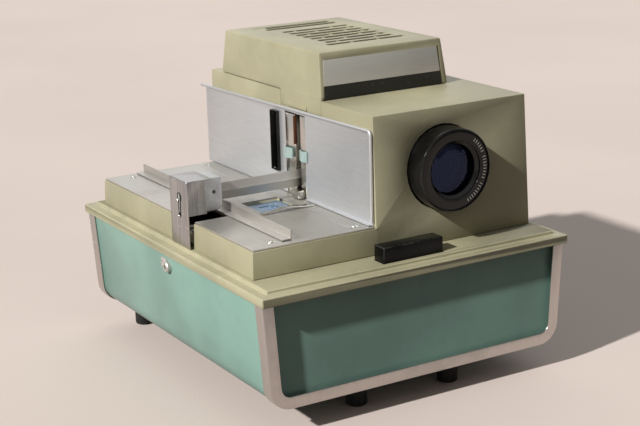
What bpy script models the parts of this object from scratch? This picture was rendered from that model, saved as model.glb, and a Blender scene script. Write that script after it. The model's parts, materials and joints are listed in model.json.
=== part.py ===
"""Slide projector with a tray channel, hand slide changer and tilting front legs.

Metres, +Z up. The lens looks along -Y and the slide trays run along Y on the left.
The origin is on the table under the middle of the deck.
"""
from math import asin, atan, cos, pi, radians, sin, tan

import bmesh
import bpy
from mathutils import Matrix, Vector

MM = 0.001

# Clearances shared by all pieces
SEAT = 0.3 * MM
OVERRUN = 6 * MM
ROUND_STEPS = 28
ARC_STEPS = 6

# Stance and lower case
STANCE = 19.2 * MM
CASE_HEIGHT = 70.8 * MM
CASE_TOP_HALF = 118.4 * MM
CASE_BASE_HALF = 113.7 * MM
CASE_CORNER = 15 * MM
CASE_DEPTH = 273.2 * MM
CASE_WALL = 1.2 * MM
TRIM_WALL = 0.9 * MM
TRIM_FACE = 1.4 * MM
TRIM_BAND = 8 * MM
TRIM_WRAP = 10 * MM
PANEL_RECESS = 4.6 * MM
PANEL_WALL = 1.2 * MM

# Deck casting
DECK_WIDTH = 240 * MM
DECK_DEPTH = 280 * MM
RIM_HEIGHT = 6.3 * MM
STEP_INSET = 7 * MM
STEP_HEIGHT = 2.4 * MM
DECK_WALL = 3 * MM
EDGE_ROUND = 0.8 * MM

# Upper housing casting: a low platform on the left, a tall box on the right
PLATFORM_LEFT = 109.9 * MM
PLATFORM_LEFT_DRAFT = 0.7 * MM
PLATFORM_HEIGHT = 17.8 * MM
HOUSING_RIGHT = 109.7 * MM
HOUSING_RIGHT_DRAFT = 3.1 * MM
HOUSING_FRONT = 110.2 * MM
HOUSING_FRONT_DRAFT = 2.2 * MM
HOUSING_REAR = 124 * MM
HOUSING_REAR_DRAFT = 5 * MM
HOUSING_HEIGHT = 92.3 * MM
BAY_WALL = 17 * MM
CAST_WALL = 2.5 * MM
HOUSING_ROUND = 1.2 * MM
COVER_LEDGE = 5.5 * MM
REAR_LOUVRES = 9
REAR_LOUVRE_LEFT = 4 * MM
REAR_LOUVRE_PITCH = 8 * MM
REAR_LOUVRE_WIDTH = 3.2 * MM
REAR_LOUVRE_LOW = 40 * MM
REAR_LOUVRE_HIGH = 76 * MM

# Lamp cover, a louvred cap over the lamp
COVER_RIGHT = 88.6 * MM
COVER_FRONT = 43.5 * MM
COVER_REAR = 102 * MM
COVER_HEIGHT = 32.1 * MM
COVER_LEFT_DRAFT = 2.2 * MM
COVER_SIDE_DRAFT = 2.6 * MM
COVER_FRONT_DRAFT = 5 * MM
COVER_REAR_DRAFT = 4 * MM
COVER_WALL = 2 * MM
COVER_ROUND = 1.2 * MM
TONGUE_REAR = 12.2 * MM
TONGUE_DROP = 10.5 * MM
TAB_FRONT = 24.4 * MM
TAB_REAR = 0.6 * MM
TAB_BASE = 10 * MM
TAB_HEIGHT = 3 * MM
TAB_RISE = 0.8 * MM
GRILLE_LEFT = 12 * MM
GRILLE_WIDTH = 60 * MM
GRILLE_FRONT = 16.5 * MM
GRILLE_ROWS = 8
GRILLE_PITCH = 11.1 * MM
GRILLE_SLOT = 5 * MM
GRILLE_BRIDGE = 3 * MM
GRILLE_BRIDGES = 2
GRILLE_STAGGER = 4 * MM
REAR_SLOTS = 2
REAR_SLOT = 5.4 * MM
REAR_SLOT_PITCH = 9.4 * MM
REAR_SLOT_LEFT = 8 * MM
REAR_SLOT_STAGGER = 5 * MM
REAR_SLOT_START = 73 * MM
REAR_SLOT_WIDTH = 64 * MM
FACE_PLATE_LEFT = 9.6 * MM
FACE_PLATE_RIGHT = 83.4 * MM
FACE_PLATE_HEIGHT = 26 * MM
FACE_PLATE_LIFT = 0.8 * MM
FACE_PLATE_WALL = 0.8 * MM
FACE_RECESS = 1.3 * MM
FACE_BACKING = 2 * MM

# Tray channel: bed sheet, wall liner, rail and index plate
SHEET = 1 * MM
BED_EDGE = 0.7 * MM
LINER_WALL = 0.8 * MM
LINER_FRONT = 107.6 * MM
LINER_REAR = 128 * MM
LINER_FRONT_HEIGHT = 63.6 * MM
LINER_REAR_HEIGHT = 59.2 * MM
LINER_CORNER = 3.2 * MM
BEAD_RADIUS = 1.1 * MM
BEAD_OVERHANG = 6 * MM
LINER_FOOT = 2.5 * MM
RAIL_LEFT = 84 * MM
RAIL_WIDTH = 7.1 * MM
RAIL_HEIGHT = 6.7 * MM
RAIL_FRONT = 103 * MM
RAIL_REAR = 121 * MM
TROUGH_LEFT = 60.3 * MM
TROUGH_RIGHT = 30.7 * MM
TROUGH_FRONT = 35.2 * MM
TROUGH_REAR = 2.2 * MM
TROUGH_FLOOR = 0.9 * MM
INDEX_LENGTH = 26 * MM
INDEX_TOOTH = 2.4 * MM
INDEX_TOOTH_HEIGHT = 1.1 * MM
SKID_OUTER = 74 * MM
SKID_INNER = 33 * MM
SKID_WIDTH = 7 * MM
SKID_RISE = 0.25 * MM
SKID_FRONT = 100 * MM
SKID_FRONT_END = 46 * MM
SKID_REAR_START = 9 * MM
SKID_REAR = 115 * MM
DETENT_WIDTH = 5 * MM
DETENT_RIGHT = 22.5 * MM
DETENT_RISE = 1.6 * MM
DETENT_WALL = 0.7 * MM
VENT_FRONT = 13.4 * MM
VENT_WIDTH = 10 * MM
VENT_SILL = 14 * MM
VENT_HEIGHT = 43.6 * MM

# Slide path and gate
SLIDE_PLANE = 12.2 * MM
SLIDE_SLOT = 5 * MM
SLIDE_FLOOR = 125.3 * MM
GATE_SILL = 119 * MM
GATE_GUIDE_TOP = 176.9 * MM
GATE_FRONT = 22.6 * MM
GATE_REAR = 5.4 * MM
GATE_LINTEL = 2 * MM
GATE_SLIT = 6.8 * MM
GUIDE_GAP = 2.8 * MM
FINGER_BASE = 145.6 * MM
GUIDE_WALL = 0.8 * MM
GUIDE_REACH = 27 * MM
GUIDE_LIP = 1.6 * MM
FRAME_TOP = 180 * MM
FRAME_FLOOR = 3.3 * MM
FRAME_WALL = 4.2 * MM
FRAME_END = 2 * MM
SLIDE_WIDTH = 50.8 * MM
APERTURE = 36 * MM
FRAME_LEG = 6 * MM
FINGER_HEIGHT = 7.5 * MM
FINGER_WALL = 0.8 * MM
FINGER_BOW = 1.6 * MM
FINGER_REAR_END = 4 * MM
FINGER_FRONT_END = 25.5 * MM
TRACK_BLOCK_LEFT = 23.5 * MM
TRACK_BLOCK_FRONT = 20.5 * MM
TRACK_BLOCK_REAR = 11.2 * MM
TRACK_BLOCK_HEIGHT = 5.9 * MM
TRACK_BLOCK_ROUND = 0.8 * MM

# Slide changer
HANDLE_FACE = 113 * MM
HANDLE_SHEET = 1.2 * MM
HANDLE_FRONT = 26.4 * MM
HANDLE_WIDTH = 26.6 * MM
HANDLE_TOP = 146.2 * MM
HANDLE_DEPTH = 19.8 * MM
HANDLE_FLANGE = 14.6 * MM
HANDLE_FLANGE_HEIGHT = 24 * MM
KEYHOLE_Y = 14.2 * MM
KEYHOLE_TOP = 137.2 * MM
KEYHOLE_BASE = 119.6 * MM
KEYHOLE_RADIUS = 3.6 * MM
KEYHOLE_SLOT = 4.4 * MM
BLOCK_RIGHT = 83.4 * MM
BLOCK_FRONT = 20 * MM
BLOCK_DEPTH = 18 * MM
BLOCK_HEIGHT = 22.9 * MM
BLOCK_HOLE = 1.3 * MM
BLOCK_HOLE_INSET = 6 * MM
BLOCK_HOLE_DEPTH = 5 * MM
BLOCK_HOLE_DROP = 3.6 * MM
BLOCK_WIDTH = 14.8 * MM
BLOCK_ROUND = 4 * MM
ARM_HEIGHT = 12 * MM
ARM_LIFT = 1.1 * MM
ARM_SHEET = 1.2 * MM
ARM_CREASE = 1.6 * MM
ARM_END = 11.5 * MM
ARM_ROOT = 6 * MM
TRACK_FRONT_EDGE = 21.8 * MM
TRACK_REAR_EDGE = 2.6 * MM
TRACK_START = 105.6 * MM
TRACK_END = 5.6 * MM
TRACK_SIDE = 2.6 * MM
TRACK_FLOOR = 2.4 * MM
TRACK_SLOT = 6 * MM
RUNNER_END_GAP = 2.4 * MM
NOTCH_DEPTH = 30.4 * MM
NOTCH_SIDE_GAP = 1.1 * MM
RUNNER_HEIGHT = 6 * MM
TRACK_HEIGHT = 10.7 * MM

# Lens
LENS_X = 37.5 * MM
LENS_Z = 151 * MM
LENS_OPENING = 29.2 * MM
LENS_STEPS = 64
BARREL_RADIUS = 28.2 * MM
BARREL_LENGTH = 64 * MM
BARREL_FRONT = 124 * MM
BARREL_CHAMFER = 0.8 * MM
BARREL_PLAY = 0.4 * MM
BARREL_CONE = 20 * MM
RING_INNER = 20.3 * MM
RING_OUTER = 26.9 * MM
RING_DEPTH = 0.8 * MM
RING_WALL = 1 * MM
FRONT_GLASS_RADIUS = 19.4 * MM
FRONT_GLASS_EDGE = 5 * MM
FRONT_GLASS_BULGE = 2.4 * MM
FRONT_SEAT_DEPTH = 12 * MM
REAR_GLASS_RADIUS = 16 * MM
REAR_GLASS_EDGE = 4 * MM
REAR_GLASS_BULGE = 1.6 * MM
REAR_SEAT_DEPTH = 10 * MM
BARREL_STOP_RADIUS = 14.4 * MM
SLEEVE_LENGTH = 7.7 * MM
MOUNT_WALL = 2.9 * MM
MOUNT_FLANGE = 36 * MM
MOUNT_FLANGE_WALL = 2.4 * MM
MOUNT_FRONT = 105.2 * MM
MOUNT_REAR = 42 * MM

# Lamp, mirror and condenser
LAMP_Y = 62.5 * MM
BULB_RADIUS = 16 * MM
BULB_NECK = 12.5 * MM
BULB_TOP = 184 * MM
BULB_WALL = 1 * MM
BULB_SHOULDER = 12 * MM
BULB_NECK_LENGTH = 12 * MM
BASE_CUP = 7 * MM
BASE_CUP_RADIUS = 15 * MM
BASE_CUP_HEIGHT = 12 * MM
BASE_RADIUS = 14 * MM
BASE_FLANGE = 17.5 * MM
BASE_FLANGE_WALL = 2.2 * MM
SOCKET_RADIUS = 19 * MM
SOCKET_HEIGHT = 24.2 * MM
SOCKET_FLOOR = 4.2 * MM
LAMP_BRACKET_BASE = 58 * MM
LAMP_BRACKET_WALL = 1.5 * MM
LAMP_BRACKET_MARGIN = 4 * MM
LAMP_BRACKET_DEPTH = 42 * MM
LAMP_BRACKET_FOOT = 8 * MM
LAMP_HOLE_LEFT = 0 * MM
LAMP_HOLE_RIGHT = 75 * MM
LAMP_HOLE_FRONT = 35 * MM
LAMP_HOLE_REAR = 90 * MM
CHIMNEY_LAP = 4 * MM
CHIMNEY_WALL = 1 * MM
CHIMNEY_TOP = 186 * MM
CHIMNEY_WINDOW = 20 * MM
MIRROR_RADIUS = 22 * MM
MIRROR_DEPTH = 7 * MM
MIRROR_WALL = 1.5 * MM
MIRROR_BOSS = 5 * MM
MIRROR_BOSS_LENGTH = 2.2 * MM
CELL_WALL = 3.6 * MM
CELL_BORE = 20.4 * MM
CELL_POST_WIDTH = 15 * MM
CELL_POST_DEPTH = 22 * MM
CELL_DEPTH = 30 * MM
CONDENSER_EDGE = 3 * MM
CONDENSER_BULGE = 6 * MM
CONDENSER_PLACE = 2 * MM
HEAT_GLASS_WALL = 2.5 * MM

# Blower
FAN_Y = -40 * MM
FAN_Z = 59.5 * MM
FAN_RADIUS = 27 * MM
FAN_RING = 5 * MM
FAN_WRAP_SHARE = 1
FAN_LEFT = -11.5 * MM
FAN_WIDTH = 29 * MM
FAN_PLATE = 1.8 * MM
FAN_BLADES = 18
FAN_BLADE_WALL = 0.9 * MM
FAN_BLADE_TILT = radians(28)
FAN_HUB = 6 * MM
FAN_HUB_LENGTH = 12 * MM
SHAFT_RADIUS = 2.5 * MM
SHAFT_GRIP = 14 * MM
SHROUD_WALL = 1.5 * MM
SHROUD_GAP = 1 * MM
SHROUD_GROWTH = 7 * MM
SHROUD_TAIL = 20 * MM
SHROUD_MOUTH = 26 * MM
SHROUD_INLET = 18 * MM
MOTOR_RADIUS = 22 * MM
MOTOR_LENGTH = 42 * MM
MOTOR_GAP = 2 * MM
MOTOR_BELL = 5 * MM
CRADLE_LENGTH = 28 * MM
CRADLE_WIDTH = 26 * MM
CRADLE_HEIGHT = 18 * MM

# Power inlet and switch on the rear panel
INLET_X = 73 * MM
INLET_Z = 44 * MM
INLET_WIDTH = 26 * MM
INLET_HEIGHT = 20 * MM
INLET_DEPTH = 15.5 * MM
INLET_WALL = 3 * MM
INLET_FLANGE = 3 * MM
INLET_FLANGE_WALL = 1.5 * MM
INLET_FLOOR = 3.5 * MM
PIN_RADIUS = 2.2 * MM
PIN_SPACING = 8 * MM
PIN_LENGTH = 6 * MM
SWITCH_X = 25 * MM
SWITCH_Z = 50 * MM
SWITCH_WIDTH = 20 * MM
SWITCH_DEPTH = 14 * MM
SWITCH_BUSH = 5 * MM
SWITCH_SHAFT = 3 * MM
SWITCH_SHAFT_LENGTH = 6.5 * MM
KNOB_RADIUS = 9 * MM
KNOB_LENGTH = 6.4 * MM
KNOB_POINTER = 2.4 * MM
KNOB_POINTER_RISE = 0.8 * MM
LOUVRE_COUNT = 12
LOUVRE_LEFT = 95 * MM
LOUVRE_PITCH = 8 * MM
LOUVRE_WIDTH = 3.2 * MM
LOUVRE_LOW = 36 * MM
LOUVRE_HIGH = 72 * MM
INTAKE_COUNT = 7
INTAKE_FRONT = 62 * MM
INTAKE_PITCH = 8 * MM
INTAKE_WIDTH = 3.4 * MM
INTAKE_LEFT = 22 * MM
INTAKE_RIGHT = 60 * MM

# Feet, tilting legs and their press bar
LEG_X = 37 * MM
LEG_SETBACK = 23.9 * MM
LEG_Y = CASE_DEPTH / 2 - LEG_SETBACK
LEG_RADIUS = 4 * MM
FOOT_RADIUS = 7.3 * MM
FOOT_HEIGHT = 12 * MM
BUSH_RADIUS = 7.1 * MM
BUSH_NECK = 5.6 * MM
BUSH_WALL = 3 * MM
LEG_PLAY = 0.4 * MM
BRIDGE_BASE = 56 * MM
BRIDGE_HEIGHT = 6 * MM
BRIDGE_HALF = 43 * MM
BRIDGE_DEPTH = 7 * MM
REAR_FOOT_X = 85.4 * MM
REAR_FOOT_SETBACK = 17.6 * MM
REAR_FOOT_Y = CASE_DEPTH / 2 - REAR_FOOT_SETBACK
REAR_FOOT_RADIUS = 7 * MM
BAR_HALF = 23.5 * MM
BAR_FRONT = 128.5 * MM
BAR_DEPTH = 12 * MM
BAR_RISE = 10.5 * MM
BAR_SKIRT = 7 * MM
BAR_ROUND = 0.8 * MM
HANGER_DROP = 17 * MM
HANGER_WALL = 1.2 * MM
HANGER_HALF = 29 * MM
HANGER_DEPTH = 9 * MM
HANGER_FOOT = 8 * MM
SPRING_RADIUS = 3.6 * MM
SPRING_WIRE = 0.45 * MM
SPRING_TURNS = 5
SPRING_POINTS_PER_TURN = 9
SPRING_BORE = 4.8 * MM
SPRING_HEAD = 6 * MM

# Lid catch keepers on the case sides
KEEPER_Y = 4.4 * MM
KEEPER_Z = 82.4 * MM
KEEPER_LENGTH = 11.7 * MM
KEEPER_HEIGHT = 9.4 * MM
KEEPER_WALL = 0.9 * MM
KEEPER_BOSS = 2.6 * MM
KEEPER_BOSS_RISE = 1.7 * MM
KEEPER_BOSS_PLACE = 5 * MM

# Heights and planes worked out from the sizes above
CASE_TOP = STANCE + CASE_HEIGHT
DECK_BASE = CASE_TOP + SEAT
DECK_TOP = DECK_BASE + RIM_HEIGHT
PLATEAU = DECK_TOP + STEP_HEIGHT
HOUSING_BASE = PLATEAU + SEAT
PLATFORM_TOP = HOUSING_BASE + PLATFORM_HEIGHT
HOUSING_TOP = HOUSING_BASE + HOUSING_HEIGHT
BED_BASE = PLATFORM_TOP + SEAT
BED_TOP = BED_BASE + SHEET
FRONT_SLOPE = HOUSING_FRONT_DRAFT / HOUSING_HEIGHT
COVER_BASE = HOUSING_TOP + SEAT
COVER_TOP = COVER_BASE + COVER_HEIGHT
LINER_BASE = BED_TOP + SEAT
LINER_INNER = -BAY_WALL - SEAT
LINER_OUTER = LINER_INNER - LINER_WALL
CASE_FLOOR = STANCE + TRIM_WALL + SEAT + CASE_WALL
PANEL_FACE = CASE_DEPTH / 2 - PANEL_RECESS
SLOT_FRONT = -SLIDE_PLANE - SLIDE_SLOT / 2
SLOT_REAR = -SLIDE_PLANE + SLIDE_SLOT / 2
GUIDE_END = LINER_OUTER + GUIDE_REACH
FRAME_LEFT = GUIDE_END + SEAT
FRAME_RIGHT = LENS_X + SLIDE_WIDTH / 2 + SEAT + FRAME_END
FRAME_FRONT = SLOT_FRONT - FRAME_WALL
FRAME_REAR = SLOT_REAR + FRAME_WALL
TRACK_BASE = PLATEAU + SEAT
TRACK_FRONT = -TRACK_FRONT_EDGE
TRACK_REAR = -TRACK_REAR_EDGE
RUNNER_BASE = TRACK_BASE + TRACK_FLOOR + SEAT
BARREL_REAR = BARREL_FRONT - BARREL_LENGTH


# Scene helpers

def make_collection(name):
    """Return a new collection in the scene."""
    group = bpy.data.collections.new(name)
    bpy.context.scene.collection.children.link(group)
    return group


def make_material(name, colour, roughness, metallic=0.0, transmission=0.0):
    """Return a Principled material."""
    mat = bpy.data.materials.new(name)
    mat.use_nodes = True
    shader = mat.node_tree.nodes["Principled BSDF"]
    shader.inputs["Base Color"].default_value = (*colour, 1)
    shader.inputs["Roughness"].default_value = roughness
    shader.inputs["Metallic"].default_value = metallic
    shader.inputs["Transmission Weight"].default_value = transmission
    mat.diffuse_color = (*colour, 1)
    return mat


class Shop:
    """Holds the collections and materials that the sub-part functions share."""

    def __init__(self):
        for old in list(bpy.data.objects):
            bpy.data.objects.remove(old, do_unlink=True)
        self.parts = make_collection("slide_projector")
        self.tools = make_collection("cutters")
        self.pivots = make_collection("joint_pivots")
        self.cream = make_material("cream_enamel", (0.50, 0.47, 0.33), 0.5)
        self.teal = make_material("teal_enamel", (0.16, 0.32, 0.28), 0.5)
        self.aluminium = make_material("aluminium", (0.62, 0.61, 0.59), 0.32, 1.0)
        self.nickel = make_material("nickel", (0.66, 0.64, 0.60), 0.2, 1.0)
        self.steel = make_material("brushed_steel", (0.48, 0.47, 0.46), 0.35, 1.0)
        self.black = make_material("black_plastic", (0.012, 0.012, 0.013), 0.35)
        self.satin = make_material("black_metal", (0.02, 0.02, 0.021), 0.4, 0.4)
        self.rubber = make_material("rubber", (0.015, 0.015, 0.015), 0.8)
        self.nylon = make_material("nylon", (0.66, 0.64, 0.55), 0.45)
        self.aqua = make_material("aqua_plastic", (0.20, 0.50, 0.44), 0.25)
        self.glass = make_material("glass", (0.9, 0.93, 0.95), 0.03, 0.0, 1.0)
        self.mirror = make_material("mirror", (0.9, 0.9, 0.9), 0.05, 1.0)
        self.ceramic = make_material("ceramic", (0.80, 0.78, 0.72), 0.4)


SHOP = Shop()


def place(obj, mat):
    """Put an object among the parts, or among the cutters when it has no material."""
    if mat is None:
        SHOP.tools.objects.link(obj)
        obj.hide_render = True
        obj.display_type = "WIRE"
    else:
        SHOP.parts.objects.link(obj)
        obj.data.materials.append(mat)
    return obj


def from_bmesh(name, bm, mat, where, smooth=False):
    """Turn a bmesh into a part, or into a cutter when mat is None, placed by a matrix."""
    bmesh.ops.recalc_face_normals(bm, faces=bm.faces)
    mesh = bpy.data.meshes.new(name)
    bm.to_mesh(mesh)
    bm.free()
    if smooth:
        mesh.shade_smooth()
        mesh.set_sharp_from_angle(angle=radians(35))
    obj = bpy.data.objects.new(name, mesh)
    obj.matrix_world = where
    return place(obj, mat)


def box(name, low, high, mat=None, top_inset=(0, 0, 0, 0)):
    """Make a box; top_inset draws its top in on the left, right, front and rear."""
    low = Vector(low)
    high = Vector(high)
    size = high - low
    left, right, front, rear = top_inset
    bm = bmesh.new()
    bmesh.ops.create_cube(bm, size=1)
    for vert in bm.verts:
        above = vert.co.z > 0
        vert.co = vert.co * size
        if above:
            vert.co.x += left if vert.co.x < 0 else -right
            vert.co.y += front if vert.co.y < 0 else -rear
    return from_bmesh(name, bm, mat, Matrix.Translation((low + high) / 2))


def turn_to(axis):
    """Return the rotation that takes +Z to the named axis."""
    turns = {
        "Z": Matrix(),
        "Y": Matrix.Rotation(radians(-90), 4, "X"),
        "-Y": Matrix.Rotation(radians(90), 4, "X"),
        "X": Matrix.Rotation(radians(90), 4, "Y"),
    }
    return turns[axis]


def rod(name, base, radius, length, axis="Z", mat=None, steps=ROUND_STEPS):
    """Make a cylinder that starts at base and runs along axis."""
    bm = bmesh.new()
    bmesh.ops.create_cone(
        bm, cap_ends=True, segments=steps, radius1=radius, radius2=radius, depth=length)
    bmesh.ops.translate(bm, verts=bm.verts, vec=(0, 0, length / 2))
    return from_bmesh(name, bm, mat, Matrix.Translation(base) @ turn_to(axis), smooth=True)


def turned(name, profile, base, axis, mat=None, steps=ROUND_STEPS):
    """Turn a profile of (radius, height) points about the axis through base.

    The profile runs down its outer side. It starts and ends on the axis, or closes on itself.
    """
    edges = [(i, i + 1) for i in range(len(profile) - 1)]
    if profile[0][0] > 0:
        edges.append((len(profile) - 1, 0))
    mesh = bpy.data.meshes.new(name)
    mesh.from_pydata([(r, 0, z) for r, z in profile], edges, [])
    obj = bpy.data.objects.new(name, mesh)
    obj.matrix_world = Matrix.Translation(base) @ turn_to(axis)
    screw = obj.modifiers.new("turn", "SCREW")
    screw.steps = steps
    screw.render_steps = steps
    screw.use_merge_vertices = True
    screw.merge_threshold = 0.00001
    screw.use_smooth_shade = True
    return place(obj, mat)


def mesh_from_curve(name, curve, where, mat):
    """Turn a curve into a mesh object with welded caps."""
    source = bpy.data.objects.new(name + "_curve", curve)
    bpy.context.scene.collection.objects.link(source)
    bpy.context.view_layer.update()
    evaluated = source.evaluated_get(bpy.context.evaluated_depsgraph_get())
    mesh = bpy.data.meshes.new_from_object(evaluated)
    bpy.data.objects.remove(source, do_unlink=True)
    bpy.data.curves.remove(curve)
    bm = bmesh.new()
    bm.from_mesh(mesh)
    bpy.data.meshes.remove(mesh)
    bmesh.ops.remove_doubles(bm, verts=bm.verts, dist=SEAT / 100)
    return from_bmesh(name, bm, mat, where)


def plate(name, loops, plane, near, far, mat=None):
    """Extrude flat outlines (the edge first, then holes) from near to far.

    plane is XY, XZ or YZ, and the outline points lie in those two axes.
    """
    curve = bpy.data.curves.new(name, "CURVE")
    curve.dimensions = "2D"
    curve.fill_mode = "BOTH"
    curve.extrude = (far - near) / 2
    for loop in loops:
        spline = curve.splines.new("POLY")
        spline.points.add(len(loop) - 1)
        for point, (a, b) in zip(spline.points, loop):
            point.co = (a, b, 0, 1)
        spline.use_cyclic_u = True
    middle = (near + far) / 2
    frames = {
        "XY": Matrix.Translation((0, 0, middle)),
        "XZ": Matrix.Translation((0, middle, 0)) @ Matrix.Rotation(radians(90), 4, "X"),
        "YZ": Matrix.Translation((middle, 0, 0)) @ Matrix(
            ((0, 0, 1, 0), (1, 0, 0, 0), (0, 1, 0, 0), (0, 0, 0, 1))),
    }
    return mesh_from_curve(name, curve, frames[plane], mat)


def wire(name, points, radius, mat=None):
    """Make a round wire along points, with filled ends."""
    curve = bpy.data.curves.new(name, "CURVE")
    curve.dimensions = "3D"
    curve.bevel_depth = radius
    curve.bevel_resolution = 2
    curve.use_fill_caps = True
    spline = curve.splines.new("POLY")
    spline.points.add(len(points) - 1)
    for point, co in zip(spline.points, points):
        point.co = (*co, 1)
    return mesh_from_curve(name, curve, Matrix(), mat)


def boolean(obj, tools, operation):
    """Add live Booleans with the tools to an object."""
    for tool in tools:
        step = obj.modifiers.new(operation.lower(), "BOOLEAN")
        step.operation = operation
        step.solver = "EXACT"
        step.object = tool
    return obj


def cut(obj, *tools):
    """Cut each tool out of an object."""
    return boolean(obj, tools, "DIFFERENCE")


def add(obj, *tools):
    """Join each tool to an object."""
    return boolean(obj, tools, "UNION")


def soften(obj, width, segments=2):
    """Round the hard edges that an object has so far."""
    bevel = obj.modifiers.new("edges", "BEVEL")
    bevel.width = width
    bevel.segments = segments
    bevel.limit_method = "ANGLE"
    bevel.angle_limit = radians(40)
    return obj


def hang(pivot, where, *objects):
    """Parent a moving body's objects to an empty on its joint's axis."""
    empty = bpy.data.objects.new(pivot, None)
    empty.location = where
    SHOP.pivots.objects.link(empty)
    for obj in objects:
        obj.parent = empty
        obj.matrix_parent_inverse = Matrix.Translation(where).inverted()


def arc(centre, radius, start, end, steps=ARC_STEPS):
    """Return points on an arc, angles in radians."""
    points = []
    for i in range(steps + 1):
        angle = start + (end - start) * i / steps
        points.append((centre[0] + radius * cos(angle), centre[1] + radius * sin(angle)))
    return points


def rectangle(low, high, corner=0):
    """Return a rectangle outline, with round corners when corner is not zero."""
    (x0, y0), (x1, y1) = low, high
    if not corner:
        return [(x0, y0), (x1, y0), (x1, y1), (x0, y1)]
    points = arc((x1 - corner, y0 + corner), corner, -pi / 2, 0)
    points += arc((x1 - corner, y1 - corner), corner, 0, pi / 2)
    points += arc((x0 + corner, y1 - corner), corner, pi / 2, pi)
    points += arc((x0 + corner, y0 + corner), corner, pi, 3 * pi / 2)
    return points


def circle(centre, radius, steps=ROUND_STEPS):
    """Return a circle outline."""
    return arc(centre, radius, 0, 2 * pi * (1 - 1 / steps), steps - 1)


def front_of(height):
    """Return the Y of the housing's sloped front face at a height."""
    return -HOUSING_FRONT + FRONT_SLOPE * (height - HOUSING_BASE)


# Lower case

def case_line(inset, top=CASE_TOP):
    """Return the case's U section, left to right, inset from the outside of the trims."""
    lean = atan((CASE_TOP_HALF - CASE_BASE_HALF) / CASE_HEIGHT)
    corner_z = STANCE + CASE_CORNER
    corner_x = CASE_BASE_HALF + CASE_CORNER * tan(lean) - CASE_CORNER / cos(lean)
    side = CASE_BASE_HALF + (top - STANCE) * tan(lean) - inset / cos(lean)
    right = arc((corner_x, corner_z), CASE_CORNER - inset, -pi / 2, -lean)
    right.append((side, top))
    left = [(-x, z) for x, z in reversed(right)]
    return left + right


def case_band(outer, inner, top=CASE_TOP):
    """Return the closed outline between two insets of the case section."""
    return case_line(outer, top) + case_line(inner, top)[::-1]


def make_trim(name, side):
    """Make one U-shaped trim: a band in front of the panel and a wrap round the case."""
    reach = [side * CASE_DEPTH / 2, side * (CASE_DEPTH / 2 - TRIM_WRAP)]
    trim = plate(name, [case_band(0, TRIM_BAND)], "XZ", min(reach), max(reach), SHOP.aluminium)
    inside = [side * (CASE_DEPTH / 2 - TRIM_FACE), side * (CASE_DEPTH / 2 - TRIM_WRAP - OVERRUN)]
    core = [case_line(TRIM_WALL, CASE_TOP + OVERRUN)]
    cut(trim, plate(name + "_core", core, "XZ", min(inside), max(inside)))


def make_case():
    """Make the wrap-round case sheet, its end panels and its trims."""
    outside = TRIM_WALL + SEAT
    half = CASE_DEPTH / 2 - TRIM_FACE - SEAT
    shell = plate("case_shell", [case_band(outside, outside + CASE_WALL)], "XZ",
                  -half, half, SHOP.teal)
    low = STANCE - OVERRUN
    for name, side in (("left", -1), ("right", 1)):
        cut(shell, rod(f"bush_hole_{name}", (side * LEG_X, -LEG_Y, low), BUSH_NECK + SEAT,
                       CASE_FLOOR - low + OVERRUN))
    for i in range(INTAKE_COUNT):
        y = -INTAKE_FRONT + i * INTAKE_PITCH
        cut(shell, box(f"intake_{i}", (INTAKE_LEFT, y, low),
                       (INTAKE_RIGHT, y + INTAKE_WIDTH, CASE_FLOOR + OVERRUN)))
    inside = case_line(outside + CASE_WALL + SEAT)
    plate("front_panel", [inside], "XZ", -PANEL_FACE, -PANEL_FACE + PANEL_WALL, SHOP.teal)
    holes = []
    for i in range(LOUVRE_COUNT):
        x = -LOUVRE_LEFT + i * LOUVRE_PITCH
        holes.append(rectangle((x, LOUVRE_LOW), (x + LOUVRE_WIDTH, LOUVRE_HIGH)))
    holes.append(rectangle(
        (INLET_X - INLET_WIDTH / 2 - SEAT, INLET_Z - INLET_HEIGHT / 2 - SEAT),
        (INLET_X + INLET_WIDTH / 2 + SEAT, INLET_Z + INLET_HEIGHT / 2 + SEAT)))
    holes.append(circle((SWITCH_X, SWITCH_Z), SWITCH_BUSH + SEAT, ROUND_STEPS // 2))
    plate("rear_panel", [inside] + holes, "XZ", PANEL_FACE - PANEL_WALL, PANEL_FACE, SHOP.teal)
    make_trim("front_trim", -1)
    make_trim("rear_trim", 1)


def make_keepers():
    """Make the nickel keepers that the lid's catches hook on, one on each side."""
    lean = atan((CASE_TOP_HALF - CASE_BASE_HALF) / CASE_HEIGHT)
    wall_x = CASE_TOP_HALF - (CASE_TOP - KEEPER_Z) * tan(lean) - TRIM_WALL
    for name, side in (("keeper_left", -1), ("keeper_right", 1)):
        where = Matrix.Translation((side * wall_x, KEEPER_Y, KEEPER_Z))
        where = where @ Matrix.Rotation(side * lean, 4, "Y")
        low = (-KEEPER_LENGTH / 2, -KEEPER_HEIGHT / 2)
        high = (KEEPER_LENGTH / 2, KEEPER_HEIGHT / 2)
        reach = (0, KEEPER_WALL) if side > 0 else (-KEEPER_WALL, 0)
        keeper = plate(name, [rectangle(low, high, KEEPER_WALL)], "YZ", *reach, SHOP.nickel)
        keeper.matrix_world = where @ keeper.matrix_world
        boss = rod(name + "_boss", (side * KEEPER_WALL / 2, -KEEPER_BOSS_PLACE, 0),
                   KEEPER_BOSS, side * (KEEPER_WALL / 2 + KEEPER_BOSS_RISE), "X",
                   steps=ROUND_STEPS // 2)
        boss.matrix_world = where @ boss.matrix_world
        add(keeper, boss)


# Deck

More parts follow.
